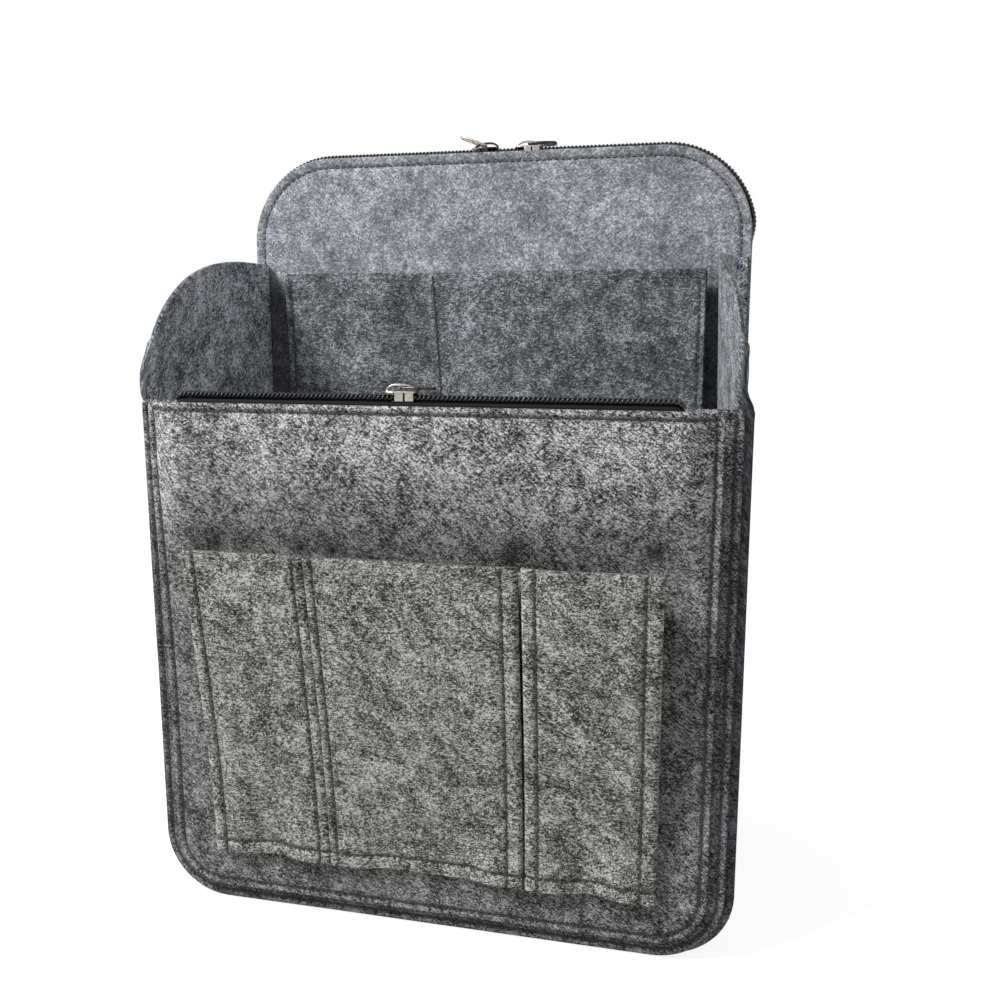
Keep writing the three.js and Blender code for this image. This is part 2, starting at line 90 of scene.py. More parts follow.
# Adds a shader node and gives the output named, or all of them. Inputs are values, or sockets to link from
def addNode(tree, kind, inputs, output=0, stops=(), **settings):
    node = tree.nodes.new("ShaderNode" + kind)
    for key, value in settings.items():
        setattr(node, key, value)
    for key, value in inputs.items():
        if isinstance(value, bpy.types.NodeSocket):
            tree.links.new(value, node.inputs[key])
        else:
            node.inputs[key].default_value = value
    for place, colour in stops:
        near = [e for e in node.color_ramp.elements if abs(e.position - place) < 1e-4]
        element = near[0] if near else node.color_ramp.elements.new(place)
        element.color = linear(colour)
    return node.outputs if output is None else node.outputs[output]


def combine(tree, how, *values, kind="Math"):
    return addNode(tree, kind, dict(enumerate(values)), operation=how)


def newMaterial(name):
    material = bpy.data.materials.new(name)
    material.use_nodes = True
    material.node_tree.nodes.clear()
    return material, material.node_tree


def flatPlace(tree):  # place on the piece as it was cut flat, in mm
    return addNode(tree, "UVMap", {}, uv_map="flatCut")


def addSurface(tree, inputs):
    shader = addNode(tree, "BsdfPrincipled", inputs)
    addNode(tree, "OutputMaterial", {"Surface": shader}, None)


# Needle-punched polyester felt: dark and pale staple fibres matted together by barbed needles, so the eye
# sees short streaks in every direction, cloudy patches where the blend is uneven, and no shine
def needledFelt(name, look):
    material, tree = newMaterial(name)
    flat = flatPlace(tree)
    size, reach = look["wander"]  # the fibres bend slowly
    drift = addNode(tree, "TexNoise", {"Vector": flat, "Scale": 1 / size, "Detail": 1.0}, "Color",
                    noise_dimensions="2D")
    centred = combine(tree, "SUBTRACT", drift, (0.5, 0.5, 0.5), kind="VectorMath")
    lay = combine(tree, "MULTIPLY_ADD", centred, (2 * reach, 2 * reach, 0), flat, kind="VectorMath")
    fibres = []
    for tone, strands in enumerate((look["pale"], look["dark"])):
        for number, (angle, length, width) in enumerate(strands):
            turned = addNode(tree, "Mapping", {
                "Vector": lay,
                "Location": (41.7 * number + 311 * tone, 23.9 * number, 0),  # no two layers look alike
                "Rotation": (0, 0, math.radians(angle)),
                "Scale": (length, width, 1),
            }, vector_type="TEXTURE")
            streak = addNode(tree, "TexNoise", {"Vector": turned, "Scale": 1.0, "Detail": 2.0},
                             noise_dimensions="2D")
            top = combine(tree, "MAXIMUM", streak, top) if number else streak
        fibres.append(top)
    relief = combine(tree, "SUBTRACT", *fibres)
    total = relief
    for size, weight in look["clouds"]:
        cloud = addNode(tree, "TexNoise", {"Vector": flat, "Scale": 1 / size, "Detail": 1.0},
                        noise_dimensions="2D")
        total = combine(tree, "MULTIPLY_ADD", cloud, weight, total)
    centre = 0.5 * sum(weight for size, weight in look["clouds"])
    low, high = centre - look["spread"], centre + look["spread"]
    blend = addNode(tree, "MapRange", {"Value": total, "From Min": low, "From Max": high})
    colour = addNode(tree, "ValToRGB", {"Fac": blend}, stops=look["colours"])
    # painted shade in seams and at cut edges
    seamEdgeShade = addNode(tree, "Attribute", {}, "Fac", attribute_name="seamEdgeShade")
    share = addNode(tree, "MapRange", {"Value": seamEdgeShade, "To Min": 1.0, "To Max": look["seamEdgeShade"]})
    places = addNode(tree, "SeparateXYZ", {"Vector": flat}, None)
    cast = 1.0
    for how, axis, (low, lowShare), (high, highShare) in look.get("shade", []):
        ramp = addNode(tree, "MapRange", {
            "Value": places[axis],
            "From Min": low, "From Max": high, "To Min": lowShare, "To Max": highShare,
        }, interpolation_type="SMOOTHSTEP")
        cast = combine(tree, how, cast, ramp)
    share = combine(tree, "MULTIPLY", share, cast)
    addSurface(tree, {
        "Base Color": addNode(tree, "HueSaturation", {"Color": colour, "Value": share}),
        "Roughness": 0.95,
        "Specular IOR Level": 0.15,
        "Sheen Weight": 0.1,
        "Sheen Roughness": 0.6,
        "Normal": addNode(tree, "Bump", {"Height": relief, "Strength": look["bump"], "Distance": 0.4 * mm}),
    })
    return material


# wander: size and reach of the bends in mm. pale and dark: angle of the strands and their length and width
# in mm. Real fibres are 0.03 mm thick, so the strands are drawn about 15 times wider to show. clouds: size in
# mm and weight. The seam setting: share of the colour left in seams and at cut edges, as painted shade there.
# shade: painted shade and light; how it joins the shade before it, and between which places across (X) or up
# the cloth (Y), in mm, the share that is left changes
frontLook = {
    "wander": (50, 3),
    "pale": [(-46, 3.2, 0.42), (-20, 2.6, 0.42), (35, 2.2, 0.45)],
    "dark": [(-38, 3.2, 0.42), (8, 2.6, 0.42), (75, 2.2, 0.45)],
    "clouds": [(7, 0.22), (24, 0.16)], "spread": 0.165,
    "colours": [(0.0, "#0b0b0c"), (0.5, "#6a6a6b"), (1.0, "#dededc")],
    "seamEdgeShade": 0.3, "bump": 0.5,
    "shade": [("MULTIPLY", "Y", (150, 0.66), (205, 1.08))],  # painted shade and light: darker low down and lighter at the top, where the light falls off downward
}
frontFelt = needledFelt("needledFeltFront", frontLook)
# Painted shade: a darker copy of the front felt for the front wall, whose rim lies in the shadow of the zip
# pocket panel
shadedRimFelt = needledFelt("needledFeltRimShaded", dict(frontLook, shade=[("MULTIPLY", "Y", (150, 0.5), (205, 0.75))]))
pocketFelt = needledFelt("needledFeltPockets", {
    "wander": (40, 3),
    "pale": [(-15, 2.8, 0.42), (20, 2.4, 0.42), (-55, 2.2, 0.45)],
    "dark": [(-5, 2.8, 0.42), (35, 2.4, 0.42), (80, 2.2, 0.45)],
    "clouds": [(7, 0.24), (24, 0.14)], "spread": 0.165,
    "colours": [(0.0, "#0b0b0b"), (0.5, "#6a6966"), (1.0, "#dcdbd7")],
    "seamEdgeShade": 0.4, "bump": 0.5,
})
backLook = {
    "wander": (50, 4),
    "pale": [(-48, 3.2, 0.72), (0, 3.0, 0.66), (50, 2.8, 0.66)],
    "dark": [(-35, 3.2, 0.72), (25, 3.0, 0.66), (80, 2.8, 0.66)],
    "clouds": [(7, 0.3), (24, 0.22)], "spread": 0.4,
    "colours": [(0.0, "#26282c"), (0.5, "#7c7f85"), (1.0, "#dadde2")],
    "seamEdgeShade": 0.7, "bump": 0.4,
}
wallFelt = needledFelt("needledFeltBack", dict(backLook, shade=[
    ("MULTIPLY", "Y", (260, 0.3), (273, 1.0)),  # painted shadow beside and behind the inner pocket, less at the left, none outside the gussets
    ("MAXIMUM", "X", (-104, 0.45), (-100, 0.0)),
    ("MAXIMUM", "X", (112, 0.0), (115, 1.0)),
]))
coverFelt = needledFelt("needledFeltCover", backLook)
innerFelt = needledFelt("needledFeltInside", {
    "wander": (50, 4),
    "pale": [(-30, 3.0, 0.6), (0, 2.6, 0.55), (50, 2.4, 0.55)],
    "dark": [(-15, 3.0, 0.6), (25, 2.6, 0.55), (80, 2.4, 0.55)],
    "clouds": [(7, 0.3), (24, 0.25)], "spread": 0.3,
    "colours": [(0.0, "#131417"), (0.5, "#54575c"), (1.0, "#bcbfc4")],
    "seamEdgeShade": 0.5, "bump": 0.4,
})
# Painted light: the gusset colours are set paler than the other felts' to stand in for the light its inner
# faces get
gussetFelt = needledFelt("needledFeltGussets", {
    "wander": (50, 4),
    "pale": [(-48, 2.8, 0.55), (0, 2.5, 0.52), (50, 2.4, 0.52)],
    "dark": [(-35, 2.8, 0.55), (25, 2.5, 0.52), (80, 2.4, 0.52)],
    "clouds": [(7, 0.28), (24, 0.22)], "spread": 0.19,
    "colours": [(0.0, "#1b1d22"), (0.5, "#82878f"), (1.0, "#eceff5")],
    "seamEdgeShade": 0.32, "bump": 0.4,
    "shade": [  # painted shade inside: the right end darker and its front flange darkest, where they lie in shade; painted light: the outside of the rear flange palest
        ("MULTIPLY", "X", (304, 0.5), (306, 1.0)),
        ("MAXIMUM", "Y", (480, 1.0), (520, 0.0)),
        ("MULTIPLY", "Y", (320, 1.0), (500, 0.52)),
        ("MAXIMUM", "X", (600, 0.0), (650, 1.0)),
        ("MULTIPLY", "X", (808, 1.0), (810, 1.4)),
    ],
})
waveBand = 0.31  # run of one band of the wave texture at a scale of 1


# Spun polyester sewing thread, black or dark grey, of two twisted plies: a soft satin line with ply marks
def spunThread(name, look):
    material, tree = newMaterial(name)
    ply = addNode(tree, "TexWave", {
        "Vector": flatPlace(tree), "Scale": waveBand / look["plyPitch"], "Distortion": 0.4,
    }, "Fac", bands_direction="DIAGONAL")
    addSurface(tree, {
        "Base Color": addNode(tree, "ValToRGB", {"Fac": ply}, stops=look["colours"]),
        "Roughness": 0.6,
        "Sheen Weight": 0.2,
        "Normal": addNode(tree, "Bump", {"Height": ply, "Strength": 0.4, "Distance": 0.1 * mm}),
    })
    return material


blackThread = spunThread("spunThreadBlack", {
    "plyPitch": 0.496, "colours": [(0.0, "#0a0a0b"), (1.0, "#1e1e20")],
})
greyThread = spunThread("spunThreadGrey", {
    "plyPitch": 0.496, "colours": [(0.0, "#1c1d21"), (1.0, "#34363b")],
})


# Woven polyester zip tape, black: ribs of warp along the zip crossed by finer weft
def wovenTape(look):
    material, tree = newMaterial("wovenPolyesterTape")
    flat = flatPlace(tree)
    weft, warp = (addNode(tree, "TexWave", {
        "Vector": flat, "Scale": waveBand / look[key], "Distortion": 0.3,
    }, "Fac", bands_direction=direction) for direction, key in (("X", "weft"), ("Y", "warp")))
    weave = combine(tree, "MULTIPLY", warp, weft)
    addSurface(tree, {
        "Base Color": addNode(tree, "ValToRGB", {"Fac": weave}, stops=look["colours"]),
        "Roughness": 0.8,
        "Specular IOR Level": 0.2,
        "Normal": addNode(tree, "Bump", {"Height": weave, "Strength": 0.6, "Distance": 0.15 * mm}),
    })
    return material


# thread spacing in mm; real zip tape has about 0.4 mm, drawn coarser to show
tapeCloth = wovenTape({"weft": 0.8, "warp": 0.9, "colours": [(0.0, "#040404"), (1.0, "#0f0f11")]})


def roughness(tree, pattern, look):
    low, high = look["rough"]
    return addNode(tree, "MapRange", {"Value": pattern, "To Min": low, "To Max": high})


# Nylon monofilament wound hot into a coil, dyed black: smooth and half glossy, with faint dye clouds
def nylonCoil(look):
    material, tree = newMaterial("blackNylonCoil")
    cloud = addNode(tree, "TexNoise", {"Vector": flatPlace(tree), "Scale": 1 / look["cloud"]})
    addSurface(tree, {
        "Base Color": addNode(tree, "ValToRGB", {"Fac": cloud}, stops=look["colours"]),
        "Roughness": roughness(tree, cloud, look),
        "IOR": 1.53,
    })
    return material


coilNylon = nylonCoil({"cloud": 6, "colours": [(0.3, "#0e0e10"), (0.7, "#1f1f22")], "rough": (0.22, 0.42)})


# Zinc die casting, plated with nickel: bright, a little warm, with soft casting waves and fine handling
# marks.
# The darker copy is painted reflection, for parts that mirror the dark felt and zip around them
def platedNickel(name, look):
    material, tree = newMaterial(name)
    place = addNode(tree, "TexCoord", {}, "Object")
    wave = addNode(tree, "TexNoise", {"Vector": place, "Scale": 1 / (look["wave"] * mm)})
    mark = addNode(tree, "TexNoise", {"Vector": place, "Scale": 1 / (look["mark"] * mm), "Detail": 4.0})
    addSurface(tree, {
        "Base Color": addNode(tree, "ValToRGB", {"Fac": mark}, stops=look["colours"]),
        "Metallic": 1.0,
        "Roughness": roughness(tree, mark, look),
        "Normal": addNode(tree, "Bump", {"Height": wave, "Strength": 0.25, "Distance": 0.15 * mm}),
    })
    return material


nickel = platedNickel("nickelPlatedZinc", {
    "wave": 2.5, "mark": 0.8, "rough": (0.16, 0.34), "colours": [(0.3, "#98938d"), (0.7, "#bdb8b2")],
})
# Painted reflection: nickel darkened to stand in for the dark surroundings it mirrors
darkReflectionNickel = platedNickel("nickelPaintedDarkReflection", {
    "wave": 2.5, "mark": 0.8, "rough": (0.2, 0.36), "colours": [(0.3, "#2b2927"), (0.7, "#4a4744")],
})
print("materials made")


# A piece of the insert's own body. flat gives each point's place on the piece as cut and, on sheets, the
# painted shade in its seams and at its cut edges
def buildPiece(name, points, faces, flat, material, node=None):
    mesh = bpy.data.meshes.new(name)
    mesh.from_pydata((points * mm).tolist(), [], faces)
    corners = np.empty(len(mesh.loops), np.int32)
    mesh.loops.foreach_get("vertex_index", corners)
    mesh.uv_layers.new(name="flatCut").data.foreach_set("uv", flat[corners, :2].ravel())
    if flat.shape[1] > 2:
        mesh.attributes.new("seamEdgeShade", "FLOAT", "POINT").data.foreach_set("value", flat[:, 2])
    mesh.polygons.foreach_set("use_smooth", [True] * len(mesh.polygons))
    mesh.materials.append(material)
    mesh.update()
    piece = bpy.data.objects.new(name, mesh)
    bpy.context.collection.objects.link(piece)
    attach(piece, "insert")
    if node:
        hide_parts(node)
    return piece


def volume(points, faces):  # six times the signed volume inside faces of four corners
    a, b, c, d = (points[faces[:, k]] for k in range(4))
    return np.einsum("ij,ij->", a, np.cross(b, c)) + np.einsum("ij,ij->", a, np.cross(c, d))


def runLengths(points):  # way along a row of points to each of them
    return np.concatenate([[0], np.cumsum(np.linalg.norm(np.diff(points, axis=0), axis=1))])


feltSet = {
    "thickness": 2.0,
    "edgeRound": 0.7,
    "edgeSteps": (0, 0.08, 0.25, 0.5, 0.8, 1.3),  # rows near a cut edge
    "leastHalf": 0.05,  # of the thickness, in a seam
    "gap": 0.3,  # between sewn layers
    "lump": (0.08, 9),  # rise and size of small lumps
    "wave": (0.3, 60),  # rise and size of slow waves
    "seamDepth": 0.6, "seamWidth": 0.9,
    "backShift": (400.0, 150.0, 0),  # so that the two faces of a sheet don't look alike
}


# Closed sheet about a middle surface of rows and columns. Its cut edges, where gap is 0, are rounded over.
# With around set the rows close into rings and the last column is filled
def sheetMesh(middle, gap, flat, pinch, around=False, thickness=feltSet["thickness"],
              edgeRound=feltSet["edgeRound"]):
    rows, columns = gap.shape
    if around:
        down = np.roll(middle, -1, 0) - np.roll(middle, 1, 0)
    else:
        down = np.gradient(middle, axis=0)
    normal = np.cross(down, np.gradient(middle, axis=1))
    normal /= np.maximum(np.linalg.norm(normal, axis=2, keepdims=True), 1e-9)
    share = np.clip(gap / edgeRound, 0, 1)
    half = thickness / 2 * np.sqrt(1 - (1 - share) ** 2) - pinch
    half = np.where(gap > 0, np.maximum(half, feltSet["leastHalf"]), 0)
    front = (middle + normal * half[:, :, None]).reshape(-1, 3)
    back = (middle - normal * half[:, :, None]).reshape(-1, 3)
    frontIndex = np.arange(rows * columns).reshape(rows, columns)
    inside = gap > 0
    backIndex = frontIndex.copy()
    backIndex[inside] = rows * columns + np.arange(inside.sum())
    points = np.concatenate([front, back[inside.ravel()]])
    # painted shade: darkest at cut edges and in the seam grooves
    seamEdgeShade = np.maximum(1 - share, pinch / feltSet["seamDepth"])
    flat = np.dstack([flat, seamEdgeShade])
    uv = np.concatenate([flat.reshape(-1, 3), flat[inside] + feltSet["backShift"]])
    quads = []
    for index in (frontIndex, backIndex[:, ::-1]):
        if around:
            index = np.concatenate([index, index[:1]])
        corners = (index[:-1, :-1], index[1:, :-1], index[1:, 1:], index[:-1, 1:])
        quads.append(np.stack([corner.ravel() for corner in corners], axis=1))
    quads = np.concatenate(quads)
    flip = volume(points, quads) < 0
    faces = (quads[:, ::-1] if flip else quads).tolist()
    if around:
        caps = [frontIndex[:, -1].tolist(), backIndex[::-1, -1].tolist()]
        faces += [cap[::-1] for cap in caps] if flip else caps
    return points, faces, uv


def feltWave(x, z, seed):
    total = 0
    for rise, size in (feltSet["lump"], feltSet["wave"]):
        total += rise * noise.noise(Vector((x / size, z / size, seed + size)))
    return total


def seamPinch(distance):
    return feltSet["seamDepth"] * np.exp(-(np.asarray(distance) / feltSet["seamWidth"]) ** 2)


def smooth(value, low, high):
    share = np.clip((value - low) / (high - low), 0, 1)
    return share * share * (3 - 2 * share)


def line(x0, z0, x1, z1, count=60):
    return [(x0 + k / count * (x1 - x0), z0 + k / count * (z1 - z0)) for k in range(count + 1)]


panelSteps = {
    "straight": 72, "arc": 14, "leastRadius": 0.6,
    "seam": (-1.2, -0.7, -0.35, 0, 0.35, 0.7, 1.2, 2.2, 4),  # rings beside the edge seam
    "inside": 3.0, "middle": 1.0,  # between the rings inside, and from the last one to the middle
}


# One ring of a panel outline, moved in from its edge, with the same number of points at every inset
def panelRing(shape, inset):
    half = shape["half"] - inset
    low = shape["low"] + inset
    high = shape["high"] - inset
    lowRadius = max(shape["lowRadius"] - inset, panelSteps["leastRadius"])
    highRadius = max(shape["highRadius"] - inset, panelSteps["leastRadius"])
    arcs = []
    for x, z, radius, start in (
        (half - lowRadius, low + lowRadius, lowRadius, -90),
        (half - highRadius, high - highRadius, highRadius, 0),
        (-half + highRadius, high - highRadius, highRadius, 90),
        (-half + lowRadius, low + lowRadius, lowRadius, 180),
    ):
        steps = panelSteps["arc"]
        turns = [math.radians(start + 90 * step / steps) for step in range(steps + 1)]
        arcs.append([(x + radius * math.cos(turn), z + radius * math.sin(turn)) for turn in turns])
    ring = []
    for k, arc in enumerate(arcs):
        ring += arc[:-1] + line(*arc[-1], *arcs[(k + 1) % 4][0], panelSteps["straight"])[:-1]
    return ring


def ringInsets(shape):
    deepest = min(shape["half"], (shape["high"] - shape["low"]) / 2) - panelSteps["middle"]
    beside = [shape["seam"] + offset for offset in panelSteps["seam"]]
    insets = [inset for inset in feltSet["edgeSteps"] if inset < beside[0]] + beside
    while insets[-1] + panelSteps["inside"] < deepest:
        insets.append(insets[-1] + panelSteps["inside"])
    return insets + [deepest]


# Flat felt panel standing in X and Z. place gives the y of its middle surface, and sewn says where the edge
# seam runs
def feltPanel(name, shape, material, node, place, sewn=lambda x, z: 1.0):
    insets = ringInsets(shape)
    rings = np.array([panelRing(shape, inset) for inset in insets]).transpose(1, 0, 2)
    x, z = rings[:, :, 0], rings[:, :, 1]
    middle = np.stack([x, np.vectorize(place)(x, z), z], axis=2)
    gap = np.tile(insets, (len(rings), 1))
    pinch = seamPinch(gap - shape["seam"]) * np.vectorize(sewn)(x, z)
    for dentX, dentZ in shape.get("dents", ()):
        away = np.hypot(x - dentX, z - dentZ) / shape["dentSize"]
        pinch = np.maximum(pinch, seamPinch(away * feltSet["seamWidth"]))
    points, faces, flat = sheetMesh(middle, gap, rings, pinch, around=True)
    piece = buildPiece(name, points, faces, flat, material, node)
    wide, tall = 2 * shape["half"], shape["high"] - shape["low"]
    area = wide * tall
    for key in ("lowRadius", "highRadius"):
        area -= 2 * (1 - math.pi / 4) * shape[key] ** 2


# Front wall of the main compartment
frontWall = {
    "half": wallHigh.x, "low": wallLow.z, "high": wallHigh.z,
    "lowRadius": 28, "highRadius": 2.5, "seam": 3.0,
}
frontSeed = 1.7


def frontWallPlace(x, z):
    return (wallLow.y + wallHigh.y) / 2 + feltWave(x, z, frontSeed)


feltPanel("front_wall", frontWall, shadedRimFelt, "front_wall_panel", frontWallPlace)

# Zip pocket panel: flat below, coming forward at the top to make room for the zip
pocketPanel = {
    "half": panelHigh.x, "low": panelLow.z, "high": panelHigh.z,
    "lowRadius": 21.5, "highRadius": 3, "seam": 3.2,
    "sideRun": 15, "topRun": 20, "rise": 62,
    "edgeShare": 0.35, "edgeLow": 85,  # from this height up, its edge lifts too, by this share
    # The dents also take the painted seam shade, so they show as dark spots
    "dents": [(-87, 160), (-49.5, 160), (-36, 160), (37, 161), (90, 166)],  # where the pleats are tacked
    "dentSize": 4.2,
}
panelFlat = panelHigh.y - feltSet["thickness"] / 2  # middle of the sewn-down part
panelSwell = panelHigh.y - panelLow.y - feltSet["thickness"]


def panelLift(x, z):  # how far the panel stands off the wall
    level = pocketPanel["high"] - pocketPanel["topRun"]
    side = smooth(pocketPanel["half"] - abs(x), 0, pocketPanel["sideRun"])
    whole = panelSwell * pocketPanel["edgeShare"] * smooth(z, pocketPanel["edgeLow"], level)
    return whole + side * max(0, panelSwell * smooth(z, level - pocketPanel["rise"], level) - whole)


def pocketPanelPlace(x, z):
    return panelFlat - panelLift(x, z) + feltWave(x, z, frontSeed)


feltPanel("front_zip_pocket", pocketPanel, frontFelt, "front_pocket_panel", pocketPanelPlace)

# Back wall and back cover, cut alike
backPanel = {
    "half": backHigh.x, "low": backLow.z, "high": backHigh.z,
    "lowRadius": 28, "highRadius": 40, "seam": 4.6,
}
backSeed, coverSeed = 5.1, 8.1


def backWallPlace(x, z):
    return (backLow.y + backHigh.y) / 2 + feltWave(x, z, backSeed)


def backCoverPlace(x, z):
    return (coverLow.y + coverHigh.y) / 2 + feltWave(x, z, coverSeed)


feltPanel("back_wall", backPanel, wallFelt, "back_wall_panel", backWallPlace)
feltPanel("back_cover", backPanel, coverFelt, "back_cover_panel", backCoverPlace)

# Inner pocket on the back wall: two halves that gape a little at the top
innerPocket = {
    "half": innerHigh.x, "low": innerLow.z, "high": innerHigh.z,
    "lowRadius": 6, "highRadius": 2, "seam": 3.0,
    "divider": (-16.4, -28),  # foot and top of the slanting seam between the halves
    "gape": 8, "sideGape": 7, "hem": 9,
}
innerTall = innerPocket["high"] - innerPocket["low"]


def dividerAt(z):
    foot, top = innerPocket["divider"]
    return foot + (z - innerPocket["low"]) / innerTall * (top - foot)


def innerPocketPlace(x, z):
    rise = max(0, z - innerPocket["low"] - innerPocket["hem"]) / (innerTall - innerPocket["hem"])
    divider = dividerAt(z)
    edge = -innerPocket["half"] if x < divider else innerPocket["half"]
    wave = min(1, max(0, (x - divider) / (edge - divider)))
    standOff = innerPocket["gape"] * math.sin(math.pi * wave) ** 2 * rise ** 2
    standOff += innerPocket["sideGape"] * wave ** 4 * rise
    return innerHigh.y - feltSet["thickness"] / 2 - standOff + feltWave(x, z, backSeed)


def innerPocketSewn(x, z):  # the seam dents the felt, but not along its top
    return 0.0 if z > innerPocket["high"] - innerPocket["seam"] - 1 else 1.0


feltPanel("inner_pocket", innerPocket, innerFelt, "inner_pocket_panel", innerPocketPlace,
          innerPocketSewn)
print("panels made")


# Gusset band: flange, bend, web, bend, flange across; down one side, along the bottom and up the other
def bandAcross(band):
    bend = band["bend"]
    middle = -feltSet["thickness"] / 2
    first = feltSet["thickness"] / 2
    last = band["depth"] - feltSet["thickness"] / 2
    points = [(first, band["nearTip"] - e) for e in feltSet["edgeSteps"]]
    arc = [math.radians(a) for a in range(0, 91, 15)]
    points += [(first + bend * (1 - math.cos(a)), middle + bend * (1 - math.sin(a))) for a in arc]
    web = last - first - 2 * bend
    count = max(4, round(web / band["webStep"]))
    points += [(first + bend + k / count * web, middle) for k in range(1, count)]
    points += [(last - bend * (1 - math.sin(a)), middle + bend * (1 - math.cos(a))) for a in arc]
    return points + [(last, band["farTip"] - e) for e in reversed(feltSet["edgeSteps"])]


swaySet = {
    "free": (-3, 7),  # from below to above the front wall's top, a side comes free
    "freeRun": (8, 70),  # and less so from the front to the back
    "flare": (6, 40),  # start above that top, and run, of the change from the low flare to the high one
    "lieBackFrom": 1.5,
}


# How far a side of the band leans out, and how far its free flange turns forward or its sewn one lies back
def bandSway(band, hand, along, out, z, share):
    bow = band["bow"][hand] * math.sin(math.pi * along / band["depth"]) * share
    free = smooth(z, *(wallHigh.z + offset for offset in swaySet["free"]))
    free *= 1 - smooth(along, *swaySet["freeRun"])
    low, high = band["flare"][hand]
    start, run = swaySet["flare"]
    flare = low + (high - low) * min(1, max(0, (z - wallHigh.z - start) / run))
    flange = max(0, out) if along < band["depth"] / 2 else 0
    turn = math.radians(band["unfold"]) * free
    back = band["lieBack"] * smooth(flange, swaySet["lieBackFrom"], band["nearTip"]) * (1 - free)
    return flare * free - bow - flange * (1 - math.cos(turn)), back - flange * math.sin(turn)


def bandStations(band, tall):  # down the left side, round the bottom and up the right side
    drops = list(feltSet["edgeSteps"]) + [2.2, 3.6, 6]
    while drops[-1] + band["upStep"] < tall:
        drops.append(drops[-1] + band["upStep"])
    shares = [1 - drop / tall for drop in drops]
    arc = [90 * k / band["arcSteps"] for k in range(band["arcSteps"] + 1)]
    floor = band["half"] - band["radius"]
    count = round(2 * floor / band["upStep"])
    stations = [("up", -1, share) for share in shares] + [("arc", -1, angle) for angle in arc]
    stations += [("floor", 1, -floor + 2 * floor * k / count) for k in range(1, count)]
    stations += [("arc", 1, angle) for angle in reversed(arc)]
    return stations + [("up", 1, share) for share in reversed(shares)]


def feltBand(name, band, node):
    across = bandAcross(band)
    lengths = runLengths(across)
    tipGap = np.minimum(lengths, lengths[-1] - lengths)
    corner = band["bottom"] + band["radius"]
    tall = band["top"](band["depth"] / 2, 0)[0] - corner
    middle, gap, flat, down = [], [], [], 0.0
    for kind, side, value in bandStations(band, tall):
        row, rowGap = [], []
        hand = 0 if side < 0 else 1
        for (along, out), tip in zip(across, tipGap):
            edge, push = tip, 0
            half = band["half"] + band["overhang"][hand] * (1 - along / band["depth"])
            if kind == "up":
                top, slope = band["top"](along, out)
                z = corner + value * (top - corner)
                sway, push = bandSway(band, hand, along, out, z, value)
                x = side * (half + out + sway)
                edge = min(tip, (1 - value) * (top - corner) / math.hypot(1, slope))
            elif kind == "arc":
                reach = band["radius"] + out
                x = side * (half - band["radius"] + reach * math.cos(math.radians(value)))
                z = corner - reach * math.sin(math.radians(value))
            else:
                x, z = value, band["bottom"] - out
            web = math.sin(math.pi * min(1, max(0, along / band["depth"])))
            lift = web * feltWave(along + 40 * side, x + z, band["seed"])
            if kind == "floor":
                z += lift
            else:
                x += lift
            row.append((x, band["start"] + along + push, z))
            rowGap.append(edge)
        if middle:
            down += np.linalg.norm(np.subtract(row[len(row) // 2], middle[-1][len(row) // 2]))
        middle.append(row)
        gap.append(rowGap)
        flat.append([(length + band["patternFrom"], down) for length in lengths])
    pinch = np.tile(seamPinch(tipGap - band["seam"]), (len(gap), 1))
    points, faces, uv = sheetMesh(np.array(middle), np.array(gap), np.array(flat), pinch)
    piece = buildPiece(name, points, faces, uv, gussetFelt, node)


# The scooped corners of the gusset band: run and rise of the curve cut from each, and how full it is
scoop = {"run": 93, "rise": gussetHigh.z - wallHigh.z, "power": 2.15}


def gussetTop(along, out):  # height of the scooped edge and its slope
    onFlange = max(0, out) if along < gusset["depth"] / 2 else 0
    run = min(scoop["run"], along + gusset["nearTip"] - onFlange)
    power = scoop["power"]
    short = 1 - run / scoop["run"]
    rise = max(1 - short ** power, 1e-4)
    slope = scoop["rise"] / scoop["run"] * short ** (power - 1) * rise ** (1 / power - 1)
    return wallHigh.z + scoop["rise"] * rise ** (1 / power), slope


gusset = {
    "start": wallHigh.y + feltSet["gap"],
    "depth": backLow.y - wallHigh.y - 2 * feltSet["gap"],
    "half": wallHigh.x - 5, "bottom": 5, "radius": 23,
    "nearTip": 4.7, "farTip": 5, "bend": 2.2, "webStep": 2.4, "upStep": 3.0, "arcSteps": 14,
    "overhang": (0.5, 3.8),  # left and right, past the edge of the front wall
    "bow": (-3.7, 7.5),
    "flare": ((2.3, 0), (0, 2.8)),  # of the free sides, low and high
    "unfold": 80, "lieBack": 1.0,  # turn of the free flange in degrees, and how far the sewn one lies back
    "seam": 2.6, "seed": 8.3, "patternFrom": 300,
    "top": gussetTop,
    "cutOff": 2 * (1 - math.pi / 4) * scoop["run"] * scoop["rise"],
}
feltBand("gusset", gusset, "gusset_band")

rearBand = {
    "start": backHigh.y + feltSet["gap"],
    "depth": coverLow.y - backHigh.y - 2 * feltSet["gap"],
    "half": backHigh.x - 8, "bottom": 8, "radius": 20,
    "nearTip": 6, "farTip": 6, "bend": 1.6, "webStep": 1.2, "upStep": 3.5, "arcSteps": 14,
    "overhang": (0, 0), "bow": (0, 0), "flare": ((0, 0), (0, 0)), "unfold": 0, "lieBack": 0,
    "seam": 3.4, "seed": 3.9, "patternFrom": 300,
    "top": lambda along, out: (rearHigh.z, 0),
    "cutOff": 0,
}
feltBand("rear_gusset", rearBand, "rear_gusset_band")
print("gusset bands made")


